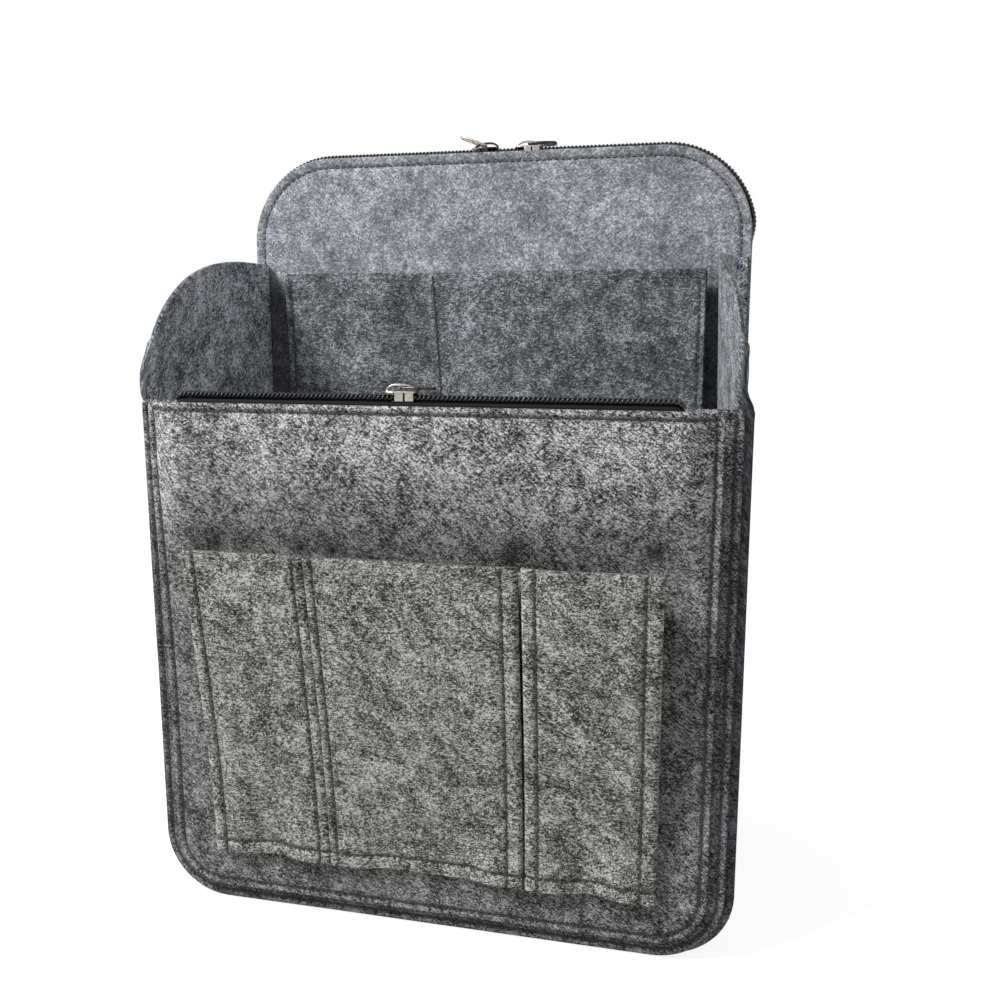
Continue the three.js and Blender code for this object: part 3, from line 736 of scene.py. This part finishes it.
# Pleated strip: three pockets folded from one length of felt. Depth counts forward from the panel behind it
pocketStrip = {
    "low": stripLow.z, "high": stripHigh.z,
    "gape": 14.0,  # of the faces at the top
    "gapeRun": (-4, 60),  # of its curve, from this far above the foot to this far above the top
    "tops": [(-92.6, -42.9), (-41.4, 40.9), (44.0, 93.8)],
    "feet": [(-91.4, -41.1), (-39.5, 40.4), (43.2, 92.8)],
    "seams": [(4.4, 3.6), (2.9, 5.2), (4.4, 5.2)],  # in from each side
    "rearDrop": 5, "dropRun": 24,  # the pleats behind the faces are cut lower at the top
    "flange": 5, "setBack": 7,  # the pleat walls stand this far in from the faces' edges
    "join": 2, "bend": 1.2,
    "settleIn": (12, 22), "settleUp": (6, 55),  # the faces lie back inside their edges, up to this height
    "footSeam": 6.0, "least": 0.7, "upStep": 3.0,
    "topWave": (0.5, 26), "patternFrom": 250,
}
layer = feltSet["thickness"] + 0.2
stripBase = feltSet["thickness"] / 2 + 0.15
faceSteps = (1.1, 1.7, 2.2, 2.6, 2.9, 3.2, 3.6, 4.0, 4.4, 4.8, 5.2, 5.6, 6.1, 7, 9, 12, 15.5, 19)
stripTall = pocketStrip["high"] - pocketStrip["low"]


def pocketSide(k, side, z):
    foot, top = pocketStrip["feet"][k][side], pocketStrip["tops"][k][side]
    return foot + (z - pocketStrip["low"]) / stripTall * (top - foot)


def seamsAt(z):
    return [pocketSide(k, side, z) + (1 - 2 * side) * pocketStrip["seams"][k][side]
            for k in range(3) for side in (0, 1)]


def pocketFront(z):  # depth of the faces near their folds
    first = pocketStrip["low"] + pocketStrip["gapeRun"][0]
    last = pocketStrip["high"] + pocketStrip["gapeRun"][1]
    share = smooth(z, first, last) / smooth(pocketStrip["high"], first, last)
    return stripBase + layer + pocketStrip["least"] + pocketStrip["gape"] * share


def faceDepth(k, x, z):
    edge = min(x - pocketSide(k, 0, z), pocketSide(k, 1, z) - x)
    up = smooth(z, *(pocketStrip["low"] + offset for offset in pocketStrip["settleUp"]))
    settle = smooth(edge, *pocketStrip["settleIn"]) * (1 - up)
    return pocketFront(z) - settle * (layer + pocketStrip["least"] - 0.1)


def facePlace(k, x, z):
    return panelHigh.y - feltSet["thickness"] - faceDepth(k, x, z) + feltWave(x, z, frontSeed)


def stripRow(z):
    base = stripBase + panelLift(0, z)
    half = layer / 2
    turns = [math.radians(a) for a in (22.5, 45, 67.5, 90)]
    fold = [math.radians(a) for a in range(-70, 90, 20)]
    path = []
    for k in range(3):
        left, right = pocketSide(k, 0, z), pocketSide(k, 1, z)
        behind = faceDepth(k, left, z) - layer
        bend = min(pocketStrip["bend"], (behind - base) / 2)
        wall = behind - base - 2 * bend
        # from the panel up the left pleat and round its fold
        root = left + pocketStrip["setBack"]
        toward = -1 if k > 0 else 1
        start = root - pocketStrip["join"] if k > 0 else root + pocketStrip["flange"]
        run = root + toward * bend - start
        path += [(start + run * s, base) for s in np.linspace(0, 1, 4 if k > 0 else 5)]
        path += [(root + toward * bend * (1 - math.sin(a)), base + bend * (1 - math.cos(a))) for a in turns]
        path += [(root, base + bend + wall * s) for s in np.linspace(0.1, 1, 8)]
        path += [(root - bend * (1 - math.cos(a)), behind - bend * (1 - math.sin(a))) for a in turns]
        path += [(root - bend + (left + half - root + bend) * s, behind) for s in np.linspace(0.2, 1, 5)]
        path += [(left + half - half * math.cos(a), behind + half + half * math.sin(a)) for a in fold]
        # across the face
        middle = np.linspace(left + faceSteps[-1], right - faceSteps[-1], 14)[1:-1]
        xs = [left + step for step in faceSteps] + list(middle)
        xs += [right - step for step in reversed(faceSteps)]
        path += [(x, faceDepth(k, x, z)) for x in xs]
        # round the right fold and down its pleat to the panel
        root = right - pocketStrip["setBack"]
        toward = 1 if k < 2 else -1
        end = root + pocketStrip["join"] if k < 2 else root - pocketStrip["flange"]
        run = end - root - toward * bend
        path += [(right - half + half * math.cos(a), behind + half - half * math.sin(a)) for a in fold]
        path += [(right - half + (root + bend - right + half) * s, behind) for s in np.linspace(0, 0.8, 5)]
        path += [(root + bend * (1 - math.sin(a)), behind - bend * (1 - math.cos(a))) for a in turns]
        path += [(root, behind - bend - wall * s) for s in np.linspace(0.1, 1, 8)]
        path += [(root + toward * bend * (1 - math.cos(a)), base + bend * (1 - math.sin(a))) for a in turns]
        path += [(root + toward * bend + run * s, base) for s in np.linspace(0.2, 1, 5)]
    return path


def buildStrip():
    rises = list(feltSet["edgeSteps"]) + [2.2, 3.4, 4.4, 5, 5.5, 6, 6.5, 7, 7.6, 8.8]
    while rises[-1] + pocketStrip["upStep"] < stripTall - 2:
        rises.append(rises[-1] + pocketStrip["upStep"])
    rises += [stripTall - e for e in reversed(feltSet["edgeSteps"])]
    waveRise, waveSize = pocketStrip["topWave"]
    middle, gap, pinch, flat = [], [], [], []
    for rise in rises:
        z = pocketStrip["low"] + rise
        path = stripRow(z)
        lengths = runLengths(path)
        tip = np.minimum(lengths, lengths[-1] - lengths)
        row, rowPinch = [], []
        front = pocketFront(z)
        drop = pocketStrip["rearDrop"] * smooth(rise, stripTall - pocketStrip["dropRun"], stripTall)
        for x, depth in path:
            lift = waveRise * noise.noise(Vector((x / waveSize, 4.4, 1))) * rise / stripTall
            lift -= drop * smooth(front - depth, layer / 2, 2.5 * layer)
            y = panelHigh.y - feltSet["thickness"] - depth + feltWave(x, z, frontSeed)
            row.append((x, y, z + lift))
            beside = min(abs(x - seam) for seam in seamsAt(z))
            side = seamPinch(beside) if depth > front - layer / 2 else 0
            rowPinch.append(max(side, seamPinch(rise - pocketStrip["footSeam"])))
        middle.append(row)
        gap.append(np.minimum(tip, min(rise, stripTall - rise)))
        pinch.append(rowPinch)
        flat.append([(length, z + pocketStrip["patternFrom"]) for length in lengths])
    points, faces, uv = sheetMesh(np.array(middle), np.array(gap), np.array(flat), np.array(pinch))
    piece = buildPiece("pleated_pockets", points, faces, uv, pocketFelt,
                       "bellows_pocket_strip")


buildStrip()
print("pleated pockets made")


# Sewing thread
threadSet = {
    "pitch": 3.0, "share": 0.85,  # of the pitch, that a stitch is long
    "radius": 0.34, "rise": 0.14, "sink": 0.4,  # of its middle above the felt, and of its ends into it
    "steps": 7, "sides": 6,
}


# Closed tubes round centre lines, each a list of points with a normal and a radius at every point
def tubeMesh(tubes, sides):
    points, quads, caps, flat = [], [], [], []
    start = 0
    ring = np.arange(sides)
    turn = 2 * math.pi * ring / sides
    for centre, normal, radius in tubes:
        along = np.gradient(centre, axis=0)
        along /= np.linalg.norm(along, axis=1, keepdims=True)
        side = np.cross(along, normal)
        side /= np.linalg.norm(side, axis=1, keepdims=True)
        up = np.cross(side, along)
        out = side[:, None] * np.cos(turn)[None, :, None] + up[:, None] * np.sin(turn)[None, :, None]
        points.append((centre[:, None] + out * radius[:, None, None]).reshape(-1, 3))
        places = np.meshgrid(runLengths(centre), 0.3 * ring, indexing="ij")
        flat.append(np.stack(places, axis=2).reshape(-1, 2))
        rows = start + np.arange(len(centre) - 1)[:, None] * sides
        first, second = rows + ring, rows + (ring + 1) % sides
        quads.append(np.stack([first, second, second + sides, first + sides], axis=2).reshape(-1, 4))
        caps.append((start + ring)[::-1].tolist())
        caps.append((start + (len(centre) - 1) * sides + ring).tolist())
        start += len(centre) * sides
    points, quads = np.concatenate(points), np.concatenate(quads)
    faces = quads.tolist() + caps
    if volume(points, quads) < 0:
        faces = [face[::-1] for face in faces]
    return points, faces, np.concatenate(flat)


# A row of stitches along a path of (point, normal): each one dips into the felt at both ends
def stitches(path):
    places, normals = (np.array([pair[k] for pair in path]) for k in (0, 1))
    lengths = runLengths(places)
    count = max(1, int(lengths[-1] / threadSet["pitch"]))
    step = lengths[-1] / count
    bow = np.sin(np.linspace(0, math.pi, threadSet["steps"])) ** 0.6
    height = bow * (threadSet["rise"] + threadSet["sink"]) - threadSet["sink"]
    radius = threadSet["radius"] * np.sin(np.linspace(0.5, math.pi - 0.5, threadSet["steps"])) ** 0.5
    row = []
    for k in range(count):
        stops = step * (k + 0.5 + threadSet["share"] * np.linspace(-0.5, 0.5, threadSet["steps"]))
        centre, normal = (np.stack([np.interp(stops, lengths, values[:, a]) for a in range(3)], axis=1)
                          for values in (places, normals))
        normal /= np.linalg.norm(normal, axis=1, keepdims=True)
        row.append((centre + normal * height[:, None], normal, radius))
    return row


def sew(name, paths, material=blackThread):
    tubes = [stitch for path in paths for stitch in stitches(path)]
    points, faces, flat = tubeMesh(tubes, threadSet["sides"])
    buildPiece(name, points, faces, flat, material)


# Thread on the panels. Their front faces -Y
front, rear = -1.0, 1.0


def panelPath(place, points, outward, depth=feltSet["thickness"] / 2 - feltSet["seamDepth"]):
    step = 0.5
    path = []
    for x, z in points:
        slope = (place(x, z + step) - place(x, z - step)) / (2 * step)
        lean = (place(x + step, z) - place(x - step, z)) / (2 * step)
        normal = np.array((-lean * outward, outward, -slope * outward))
        normal /= np.linalg.norm(normal)
        path.append((np.array((x, place(x, z), z)) + normal * depth, normal))
    return path


def seamRing(shape):
    ring = panelRing(shape, shape["seam"])
    return ring + ring[:1]


def seamBelow(shape, top):  # the same without what lies above top, as one run
    ring = panelRing(shape, shape["seam"])
    kept = [z < top for x, z in ring]
    first = next(k for k in range(len(ring)) if kept[k] and not kept[k - 1])
    return [point for point in ring[first:] + ring[:first] if point[1] < top]


def innerDivider(beside, top):
    foot = innerPocket["low"] + innerPocket["seam"]
    return line(dividerAt(top) + beside, top, dividerAt(foot) + beside, foot)


sides = seamBelow(pocketPanel, pocketPanel["high"] - 4)
topZ = pocketPanel["high"] - pocketPanel["seam"]
topRun = pocketPanel["half"] - pocketPanel["seam"] - 1
top = line(-topRun, topZ, topRun, topZ, 160)
sew("thread_zip_pocket", [panelPath(pocketPanelPlace, run, front) for run in (sides, top)])
sew("thread_front_wall", [panelPath(frontWallPlace, seamRing(frontWall), front)])
sew("thread_back_wall", [panelPath(backWallPlace, seamRing(backPanel), front)], greyThread)
sew("thread_back_cover", [panelPath(backCoverPlace, seamRing(backPanel), rear)], greyThread)

topZ = innerPocket["high"] - 1
divider = [innerDivider(-0.25, topZ), innerDivider(0.25, topZ - threadSet["pitch"] / 2)]  # sewn twice
sew("thread_inner_pocket", [panelPath(innerPocketPlace, seamRing(innerPocket), front)] + [
    panelPath(innerPocketPlace, run, front, feltSet["thickness"] / 2 + 0.1) for run in divider
], greyThread)

paths = []
heights = np.linspace(pocketStrip["low"] + 1.5, pocketStrip["high"] - 0.8, 60)
footZ = pocketStrip["low"] + pocketStrip["footSeam"]
for k in range(3):
    runs = [[(seamsAt(z)[2 * k + side], z) for z in heights] for side in (0, 1)]
    runs.append(line(pocketSide(k, 0, footZ) + 0.8, footZ, pocketSide(k, 1, footZ) - 0.8, footZ))
    paths += [panelPath(lambda x, z: facePlace(k, x, z), run, front) for run in runs]
for x, z in pocketPanel["dents"]:  # bar tacks over the ends of the pleats
    for beside in (-0.6, 0, 0.6):
        tack = line(x + beside, z - 1.6, x + beside, z + 1.6, 6)
        paths.append(panelPath(pocketPanelPlace, tack, front))
sew("thread_pockets", paths)
print("thread sewn")


# Zips: woven tape sewn inside each felt edge, with a wound nylon coil on its free edge
zipSet = {
    "tape": 0.6, "tapeBend": 0.9, "tapeRound": 0.25, "tapeGap": 0.5, "stationStep": 2.0,
    "pitch": 1.8, "wire": 0.44, "turnSteps": 10, "sides": 6,
    "overlap": 0.35,  # each coil reaches this far past the middle of the chain
    "cord": 0.9,  # radius of the filler cord in the coil
    "cordDrop": {"front_zip": 0.45, "rear_zip": 0.05},  # below the middle of the coil
    "dip": 2.2, "dipRun": {"front_zip": 3.8, "rear_zip": 14},  # the ends are sewn down
    "rearRise": 0.7,  # the rear zip stands up a little
}
frontMiddle = (frontTapeLow.y + nodeBox("front_zip_tape_far")[1].y) / 2
rearMiddle = (rearTapeLow.y + nodeBox("rear_zip_tape_far")[1].y) / 2
coilLow, coilHigh = nodeBox("front_zip_coil_near")
coilOuter = frontMiddle - coilLow.y
coilBase, coilTop = coilLow.z - panelHigh.z, coilHigh.z - panelHigh.z
tapeOuter = frontMiddle - frontTapeLow.y - zipSet["tape"] / 2
tapeTop = frontTapeHigh.z - panelHigh.z - zipSet["tape"] / 2
tapeFoot = frontTapeLow.z - panelHigh.z
rearLevel = nodeBox("rear_zip_coil_near")[1].z - coilTop  # felt edge that the rear zip is set to


# A zip's way along the felt edge: points in X and Z with outward normals
def zipRoute(name, points, outs, middle):
    return {"name": name, "points": np.array(points), "outs": np.array(outs), "lengths": runLengths(points),
            "middle": middle}


def zipPlace(route, along, across, up):
    along, across, up = np.broadcast_arrays(along, across, up)
    fromEnd = np.minimum(along, route["lengths"][-1] - along)
    up = up - zipSet["dip"] * (1 - smooth(fromEnd, 0, zipSet["dipRun"][route["name"]]))
    x, z = (np.interp(along, route["lengths"], route["points"][:, k]) for k in (0, 1))
    outX, outZ = (np.interp(along, route["lengths"], route["outs"][:, k]) for k in (0, 1))
    return np.stack([x + outX * up, route["middle"] + across, z + outZ * up], axis=-1)


def backRoute():
    half, radius = backPanel["half"], backPanel["highRadius"]
    level = rearLevel - backHigh.z + zipSet["rearRise"]
    centreZ = backPanel["high"] - radius
    points, outs = [(-half - level, rearTapeLow.z)], [(-1, 0)]
    for side, start in ((-1, 180), (1, 90)):
        for k in range(31):
            angle = math.radians(start - 3 * k)
            out = (math.cos(angle), math.sin(angle))
            away = radius + level
            points.append((side * (half - radius) + away * out[0], centreZ + away * out[1]))
            outs.append(out)
    return points + [(half + level, rearTapeLow.z)], outs + [(1, 0)]


def zipTape(route, side, where):
    bend = zipSet["tapeBend"]
    profile = [(tapeOuter, tapeFoot + rise) for rise in (0, 0.1, 0.3, 1, 4, 8)]
    for k in range(7):
        angle = math.radians(15 * k)
        profile.append((tapeOuter - bend * (1 - math.cos(angle)), tapeTop - bend * (1 - math.sin(angle))))
    inner = zipSet["overlap"] + zipSet["tapeGap"]
    profile += [(inner + gap, tapeTop) for gap in (2, 1, 0.3, 0.1, 0)]
    across, up = np.array(profile).T
    widths = runLengths(profile)
    end = route["lengths"][-1]
    near = np.array([0, 0.1, 0.3, 0.8])
    count = round((end - 2) / zipSet["stationStep"])
    stations = np.concatenate([near, np.linspace(1.2, end - 1.2, count), end - near[::-1]])
    middle = zipPlace(route, stations[:, None], side * across[None, :], up[None, :])
    fromEnd, fromSide = np.minimum(stations, end - stations), np.minimum(widths, widths[-1] - widths)
    gap = np.minimum(fromEnd[:, None], fromSide[None, :])
    flat = np.stack(np.meshgrid(stations, widths, indexing="ij"), axis=2)
    points, faces, uv = sheetMesh(middle, gap, flat, 0 * gap, False, zipSet["tape"], zipSet["tapeRound"])
    piece = buildPiece(f"{route['name']}_cloth_{where}", points, faces, uv, tapeCloth,
                       f"{route['name']}_tape_{where}")


def zipCoil(route, side, where):
    wire = zipSet["wire"]
    centre, wide = (coilOuter - zipSet["overlap"]) / 2, (coilOuter + zipSet["overlap"]) / 2 - wire
    level, tall = (coilBase + coilTop) / 2, (coilTop - coilBase) / 2 - wire
    end = route["lengths"][-1]
    turns = (end - 2) / zipSet["pitch"]
    turn = 2 * math.pi * np.linspace(0, turns, int(turns * zipSet["turnSteps"]))
    along = 1 + zipSet["pitch"] * turn / (2 * math.pi)
    phase = turn if side < 0 else turn + math.pi  # the far coil lies half a pitch on
    loop = zipPlace(route, along, side * (centre + wide * np.cos(phase)), level + tall * np.sin(phase))
    forward = zipPlace(route, along + 0.1, 0, 0) - zipPlace(route, along - 0.1, 0, 0)
    along = np.linspace(1, end - 1, int(end / zipSet["stationStep"]))
    cord = zipPlace(route, along, side * centre, level - zipSet["cordDrop"][route["name"]])
    outward = zipPlace(route, along, side * centre, level + 1) - cord
    points, faces, flat = tubeMesh([
        (loop, forward, np.full(len(loop), wire)),
        (cord, outward, np.full(len(cord), zipSet["cord"])),
    ], zipSet["sides"])
    buildPiece(f"{route['name']}_teeth_{where}", points, faces, flat, coilNylon,
               f"{route['name']}_coil_{where}")


frontEnds = [(frontTapeLow.x, panelHigh.z), (frontTapeHigh.x, panelHigh.z)]
for route in (
    zipRoute("front_zip", frontEnds, [(0, 1), (0, 1)], frontMiddle),
    zipRoute("rear_zip", *backRoute(), rearMiddle),
):
    for side, where in ((-1, "near"), (1, "far")):
        zipTape(route, side, where)
        zipCoil(route, side, where)
print("zips made")


# Sliders and pulls: zinc castings. Their shapes are worked with x along the chain and z up from the felt edge
sliderSet = {
    "plate": 0.85, "bevel": 0.25, "corner": 1.6,
    "nose": 0.9, "tail": 0.82, "shoulder": 0.25,  # widths to that of the shoulders, and their place
    "flangeLength": 7.2, "flangeEnd": 0.9, "flange": 0.7, "slit": 0.6, "flangeFoot": 1.55,
    "lowerPlate": (-0.6, 0.25), "lowerShare": (0.62, 0.85),  # of the upper plate's length and width
    "post": (0.9, 3, 0.5),  # start and end behind the nose, and half its width
    "fineCorner": (0.2, 0.3), "fineBevel": (0.12, 0.1), "sink": (0.3, 0.5),  # of the flanges and the post
    "upperTop": 5.3, "bailTop": 8.0, "bailWidth": 1.9, "bailBar": 0.85, "bailReach": 0.92,
    "pivotRise": 0.97,  # of the pull's hinge above the upper plate
}
pullSet = {
    "width": 6, "thickness": 1.0, "bar": 1.3, "bevel": 0.22,
    "root": 0.8, "end": 0.72,  # widths to that beside the eye
    "corner": 2.0, "cutCorner": 0.8, "cutBevel": 0.1, "cutHeight": 2,  # of the plates cut out of it
    "eyeHalf": 1.5, "eyeSpare": 1.2, "rim": 0.9, "recess": 0.2, "field": (0.8, 0.6),
}


def mirrored(edge):  # closed outline from one edge, given as x and half the width
    return [(x, -half) for x, half in edge] + [(x, half) for x, half in reversed(edge)]


def roundedOutline(corners, radius, steps=5):  # convex outline with its corners rounded
    outline = []
    count = len(corners)
    for k in range(count):
        here, before, after = (Vector(corners[(k + d) % count]) for d in (0, -1, 1))
        toBefore, toAfter = (before - here).normalized(), (after - here).normalized()
        reach = min(radius, (before - here).length / 2.02, (after - here).length / 2.02)
        first, last = here + toBefore * reach, here + toAfter * reach
        for step in range(steps + 1):
            t = step / steps
            point = first * (1 - t) ** 2 + here * 2 * t * (1 - t) + last * t ** 2
            outline.append((point.x, point.y))
    return outline


def castRings(points, count):  # closed casting from rings of count points each
    faces = []
    for k in range(len(points) - count):
        after = k + 1 if (k + 1) % count else k + 1 - count
        faces.append((k, after, after + count, k + count))
    faces.append(tuple(range(count))[::-1])
    faces.append(tuple(range(len(points) - count, len(points))))
    mesh = bpy.data.meshes.new("cast")
    mesh.from_pydata(points, [], faces)
    mesh.validate()
    work = bmesh.new()
    work.from_mesh(mesh)
    bmesh.ops.recalc_face_normals(work, faces=work.faces)
    work.to_mesh(mesh)
    work.free()
    return mesh


def castPlate(outline, low, high, bevel):
    count = len(outline)
    centre = Vector((sum(p[0] for p in outline) / count, sum(p[1] for p in outline) / count))
    points = []
    for height, inset in ((low, bevel), (low + bevel, 0), (high - bevel, 0), (high, bevel)):
        for p in outline:
            away = Vector(p) - centre
            moved = Vector(p) - away.normalized() * min(inset, away.length * 0.5)
            points.append((moved.x, moved.y, height))
    return castRings(points, count)


def castArch(path, width, bar):  # bar of rounded section bent along a path in x and z
    along = np.gradient(path, axis=0)
    along /= np.linalg.norm(along, axis=1, keepdims=True)
    section = roundedOutline(mirrored([(-width / 2, bar / 2), (width / 2, bar / 2)]), 0.35 * bar, 3)
    points = []
    for (x, z), (dx, dz) in zip(path, along):
        points += [(x - dz * out, side, z + dx * out) for side, out in section]
    return castRings(points, len(section))


def castPiece(name, body, node, whole, others, how, place, material):  # how the others join the whole
    base = bpy.data.objects.new("casting", whole)
    bpy.context.collection.objects.link(base)
    helpers = [base]
    for mesh in others:
        helper = bpy.data.objects.new("helper", mesh)
        bpy.context.collection.objects.link(helper)
        helpers.append(helper)
        join = base.modifiers.new("join", "BOOLEAN")
        join.operation, join.solver, join.object = how, "EXACT", helper
    graph = bpy.context.evaluated_depsgraph_get()
    mesh = bpy.data.meshes.new_from_object(base.evaluated_get(graph))
    for helper in helpers:
        bpy.data.objects.remove(helper)
    mesh.name = name
    mesh.transform(Matrix.Diagonal((mm, mm, mm, 1)) @ place)
    mesh.polygons.foreach_set("use_smooth", [True] * len(mesh.polygons))
    mesh.set_sharp_from_angle(angle=math.radians(40))
    mesh.materials.clear()
    mesh.materials.append(material)
    piece = bpy.data.objects.new(name, mesh)
    bpy.context.collection.objects.link(piece)
    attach(piece, body)
    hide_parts(node)


def bailPath(top, reach):  # from the nose up, over the pull's bar and down to the tail
    rise = sliderSet["bailTop"] - sliderSet["bailBar"] / 2
    hull = [
        (-reach, top - 0.6), (-reach, top + 0.3), (-reach * 0.92, top + 1.2), (-reach * 0.66, rise - 0.25),
        (-reach * 0.36, rise), (0, rise), (reach * 0.34, rise - 0.3), (reach * 0.68, rise - 0.95),
        (reach * 0.92, rise - 1.75), (reach, top - 0.6),
    ]
    steps = np.linspace(0, len(hull) - 1, 46)
    path = np.stack([np.interp(steps, range(len(hull)), [p[k] for p in hull]) for k in (0, 1)], axis=1)
    for k in range(3):  # ease the corners
        path[1:-1] = (path[:-2] + 2 * path[1:-1] + path[2:]) / 4
    return path


def buildSlider(node, body, level, facing, material):
    low, high = nodeBox(node)
    half, wide = (high.x - low.x) / 2, (high.y - low.y) / 2
    tail, shoulder = wide * sliderSet["tail"], half * sliderSet["shoulder"]
    edge = [(-half, wide * sliderSet["nose"]), (-shoulder, wide), (half, tail)]
    plan = roundedOutline(mirrored(edge), sliderSet["corner"])
    top, bevel, sink = sliderSet["upperTop"], sliderSet["bevel"], sliderSet["sink"]
    lower = [(x * sliderSet["lowerShare"][0], y * sliderSet["lowerShare"][1]) for x, y in plan]
    parts = [castPlate(lower, *sliderSet["lowerPlate"], bevel)]
    end = half - sliderSet["flangeEnd"]
    start = half - sliderSet["flangeLength"] - sliderSet["flangeEnd"]
    middle, slit, flange = (start + end) / 2, sliderSet["slit"] / 2, sliderSet["flange"]
    for side in (-1, 1):
        for begin, stop in ((start, middle - slit), (middle + slit, end)):
            slant = (wide - tail) / (half + shoulder)
            first, last = (wide - slant * max(0, x + shoulder) for x in (begin, stop))
            corners = [(begin, first), (stop, last), (stop, last - flange), (begin, first - flange)]
            outline = roundedOutline([(x, side * y) for x, y in corners], sliderSet["fineCorner"][0], 2)
            parts.append(castPlate(outline, sliderSet["flangeFoot"], top - sink[0],
                                   sliderSet["fineBevel"][0]))
    start, end, postHalf = sliderSet["post"]
    post = mirrored([(-half + start, postHalf), (-half + end, postHalf)])
    post = roundedOutline(post, sliderSet["fineCorner"][1], 2)
    parts.append(castPlate(post, 0, top - sink[1], sliderSet["fineBevel"][1]))
    reach = half * sliderSet["bailReach"]
    parts.append(castArch(bailPath(top, reach), sliderSet["bailWidth"], sliderSet["bailBar"]))
    centreX = (low.x + high.x) / 2
    place = Matrix.Translation((centreX, (low.y + high.y) / 2, level))
    if facing < 0:
        place = place @ Matrix.Rotation(math.pi, 4, "Z")
    whole = castPlate(plan, top - sliderSet["plate"], top, bevel)
    name = node.replace("zip_slider", "slider_casting")
    castPiece(name, body, node, whole, parts, "UNION", place, material)
    return centreX, reach


def buildPull(node, body, pivot, angle, roll, reach, material):
    low, high = nodeBox(node)
    turn = math.radians(angle)
    thick = pullSet["thickness"] / 2
    reachX = max(high.x - pivot[0], pivot[0] - low.x)
    length = (reachX - thick * abs(math.sin(turn))) / abs(math.cos(turn))
    half, bar, rim = pullSet["width"] / 2, pullSet["bar"] / 2, pullSet["rim"]
    eyeEnd = reach + pullSet["eyeSpare"]
    edge = [(-bar, half * pullSet["root"]), (eyeEnd, half), (length, half * pullSet["end"])]
    eye = mirrored([(bar, pullSet["eyeHalf"]), (eyeEnd, pullSet["eyeHalf"])])
    tools = [(eye, -pullSet["cutHeight"], pullSet["cutHeight"])]
    if length - eyeEnd > 3 * rim:  # room for a sunk field on both faces
        first, last = (half * share - rim for share in pullSet["field"])
        field = mirrored([(eyeEnd + rim, first), (length - rim, last)])
        sunk = thick - pullSet["recess"]
        tools += [(field, -pullSet["cutHeight"], -sunk), (field, sunk, pullSet["cutHeight"])]
    cuts = [castPlate(roundedOutline(outline, pullSet["cutCorner"], 4), bottom, top, pullSet["cutBevel"])
            for outline, bottom, top in tools]
    place = Matrix.Translation(pivot) @ Matrix.Rotation(-turn, 4, "Y")
    place = place @ Matrix.Rotation(math.radians(roll), 4, "X")
    outline = roundedOutline(mirrored(edge), pullSet["corner"], 6)
    whole = castPlate(outline, -thick, thick, pullSet["bevel"])
    name = node.replace("zip_pull", "pull_casting")
    castPiece(name, body, node, whole, cuts, "DIFFERENCE", place, material)


# Some sliders and pulls take the darker nickel, a painted dark reflection
for zipName, where, level, middle, facing, (angle, roll), (sliderMetal, pullMetal) in (
    ("front", "", panelHigh.z, frontMiddle, 1, (0, 0), (nickel, darkReflectionNickel)),
    ("rear", "_left", rearLevel, rearMiddle, -1, (160, 8), (darkReflectionNickel, nickel)),
    ("rear", "_right", rearLevel, rearMiddle, 1, (0, -8), (nickel, darkReflectionNickel)),
):
    slider, pull = (f"{zipName}_zip_{kind}{where}" for kind in ("slider", "pull"))
    body = zipName + where
    centreX, reach = buildSlider(slider, body + "_slider", level, facing, sliderMetal)
    pivot = (centreX, middle, level + sliderSet["upperTop"] + sliderSet["pivotRise"])
    buildPull(pull, body + "_pull", pivot, angle, roll, reach, pullMetal)
print("sliders and pulls made")


# Floor, background and light. The world and the floor show white, and light the object plainly
stageSet = {"floor": 8.0, "floorDrop": 0.6, "floorColour": "#8a8a88", "floorGlow": 0.86, "sky": 0.6}


def seenRays(tree):
    rays = addNode(tree, "LightPath", {}, None)
    seen = combine(tree, "MAXIMUM", rays["Is Glossy Ray"], rays["Is Camera Ray"])
    return combine(tree, "MAXIMUM", rays["Is Transmission Ray"], seen)


white = (1, 1, 1, 1)
reach = stageSet["floor"] / 2
corners = [(-reach, -reach, 0), (reach, -reach, 0), (reach, reach, 0), (-reach, reach, 0)]
floorMesh = bpy.data.meshes.new("floor")
floorMesh.from_pydata(corners, [], [(0, 1, 2, 3)])
floor = bpy.data.objects.new("floor", floorMesh)
floor.location.z = -stageSet["floorDrop"] * mm
bpy.context.collection.objects.link(floor)
# White background paper, which also glows where it is seen
paper, tree = newMaterial("whitePaperFloor")
matt = addNode(tree, "BsdfDiffuse", {"Color": linear(stageSet["floorColour"])})
glow = combine(tree, "MULTIPLY", seenRays(tree), stageSet["floorGlow"])
lit = addNode(tree, "Emission", {"Color": white, "Strength": glow})
addNode(tree, "OutputMaterial", {"Surface": addNode(tree, "AddShader", {0: matt, 1: lit})}, None)
floorMesh.materials.append(paper)

world = bpy.data.worlds.new("studio")
bpy.context.scene.world = world
world.use_nodes = True
tree = world.node_tree
tree.nodes.clear()
sky = addNode(tree, "Background", {"Color": white, "Strength": stageSet["sky"]})
backdrop = addNode(tree, "Background", {"Color": white, "Strength": 1.0})
both = addNode(tree, "MixShader", {0: seenRays(tree), 1: sky, 2: backdrop})
addNode(tree, "OutputWorld", {"Surface": both}, None)

lampSet = {"place": (-580, -500, 970), "aim": (0, 0, 170), "watts": 15.5, "size": 300}
lampData = bpy.data.lights.new("windowLight", "AREA")
lampData.energy = lampSet["watts"]
lampData.size = lampSet["size"] * mm
lamp = bpy.data.objects.new("windowLight", lampData)
lamp.location = Vector(lampSet["place"]) * mm
aim = Vector(lampSet["aim"]) * mm - lamp.location
lamp.rotation_euler = aim.to_track_quat("-Z", "Y").to_euler()
bpy.context.collection.objects.link(lamp)
print("stage set")
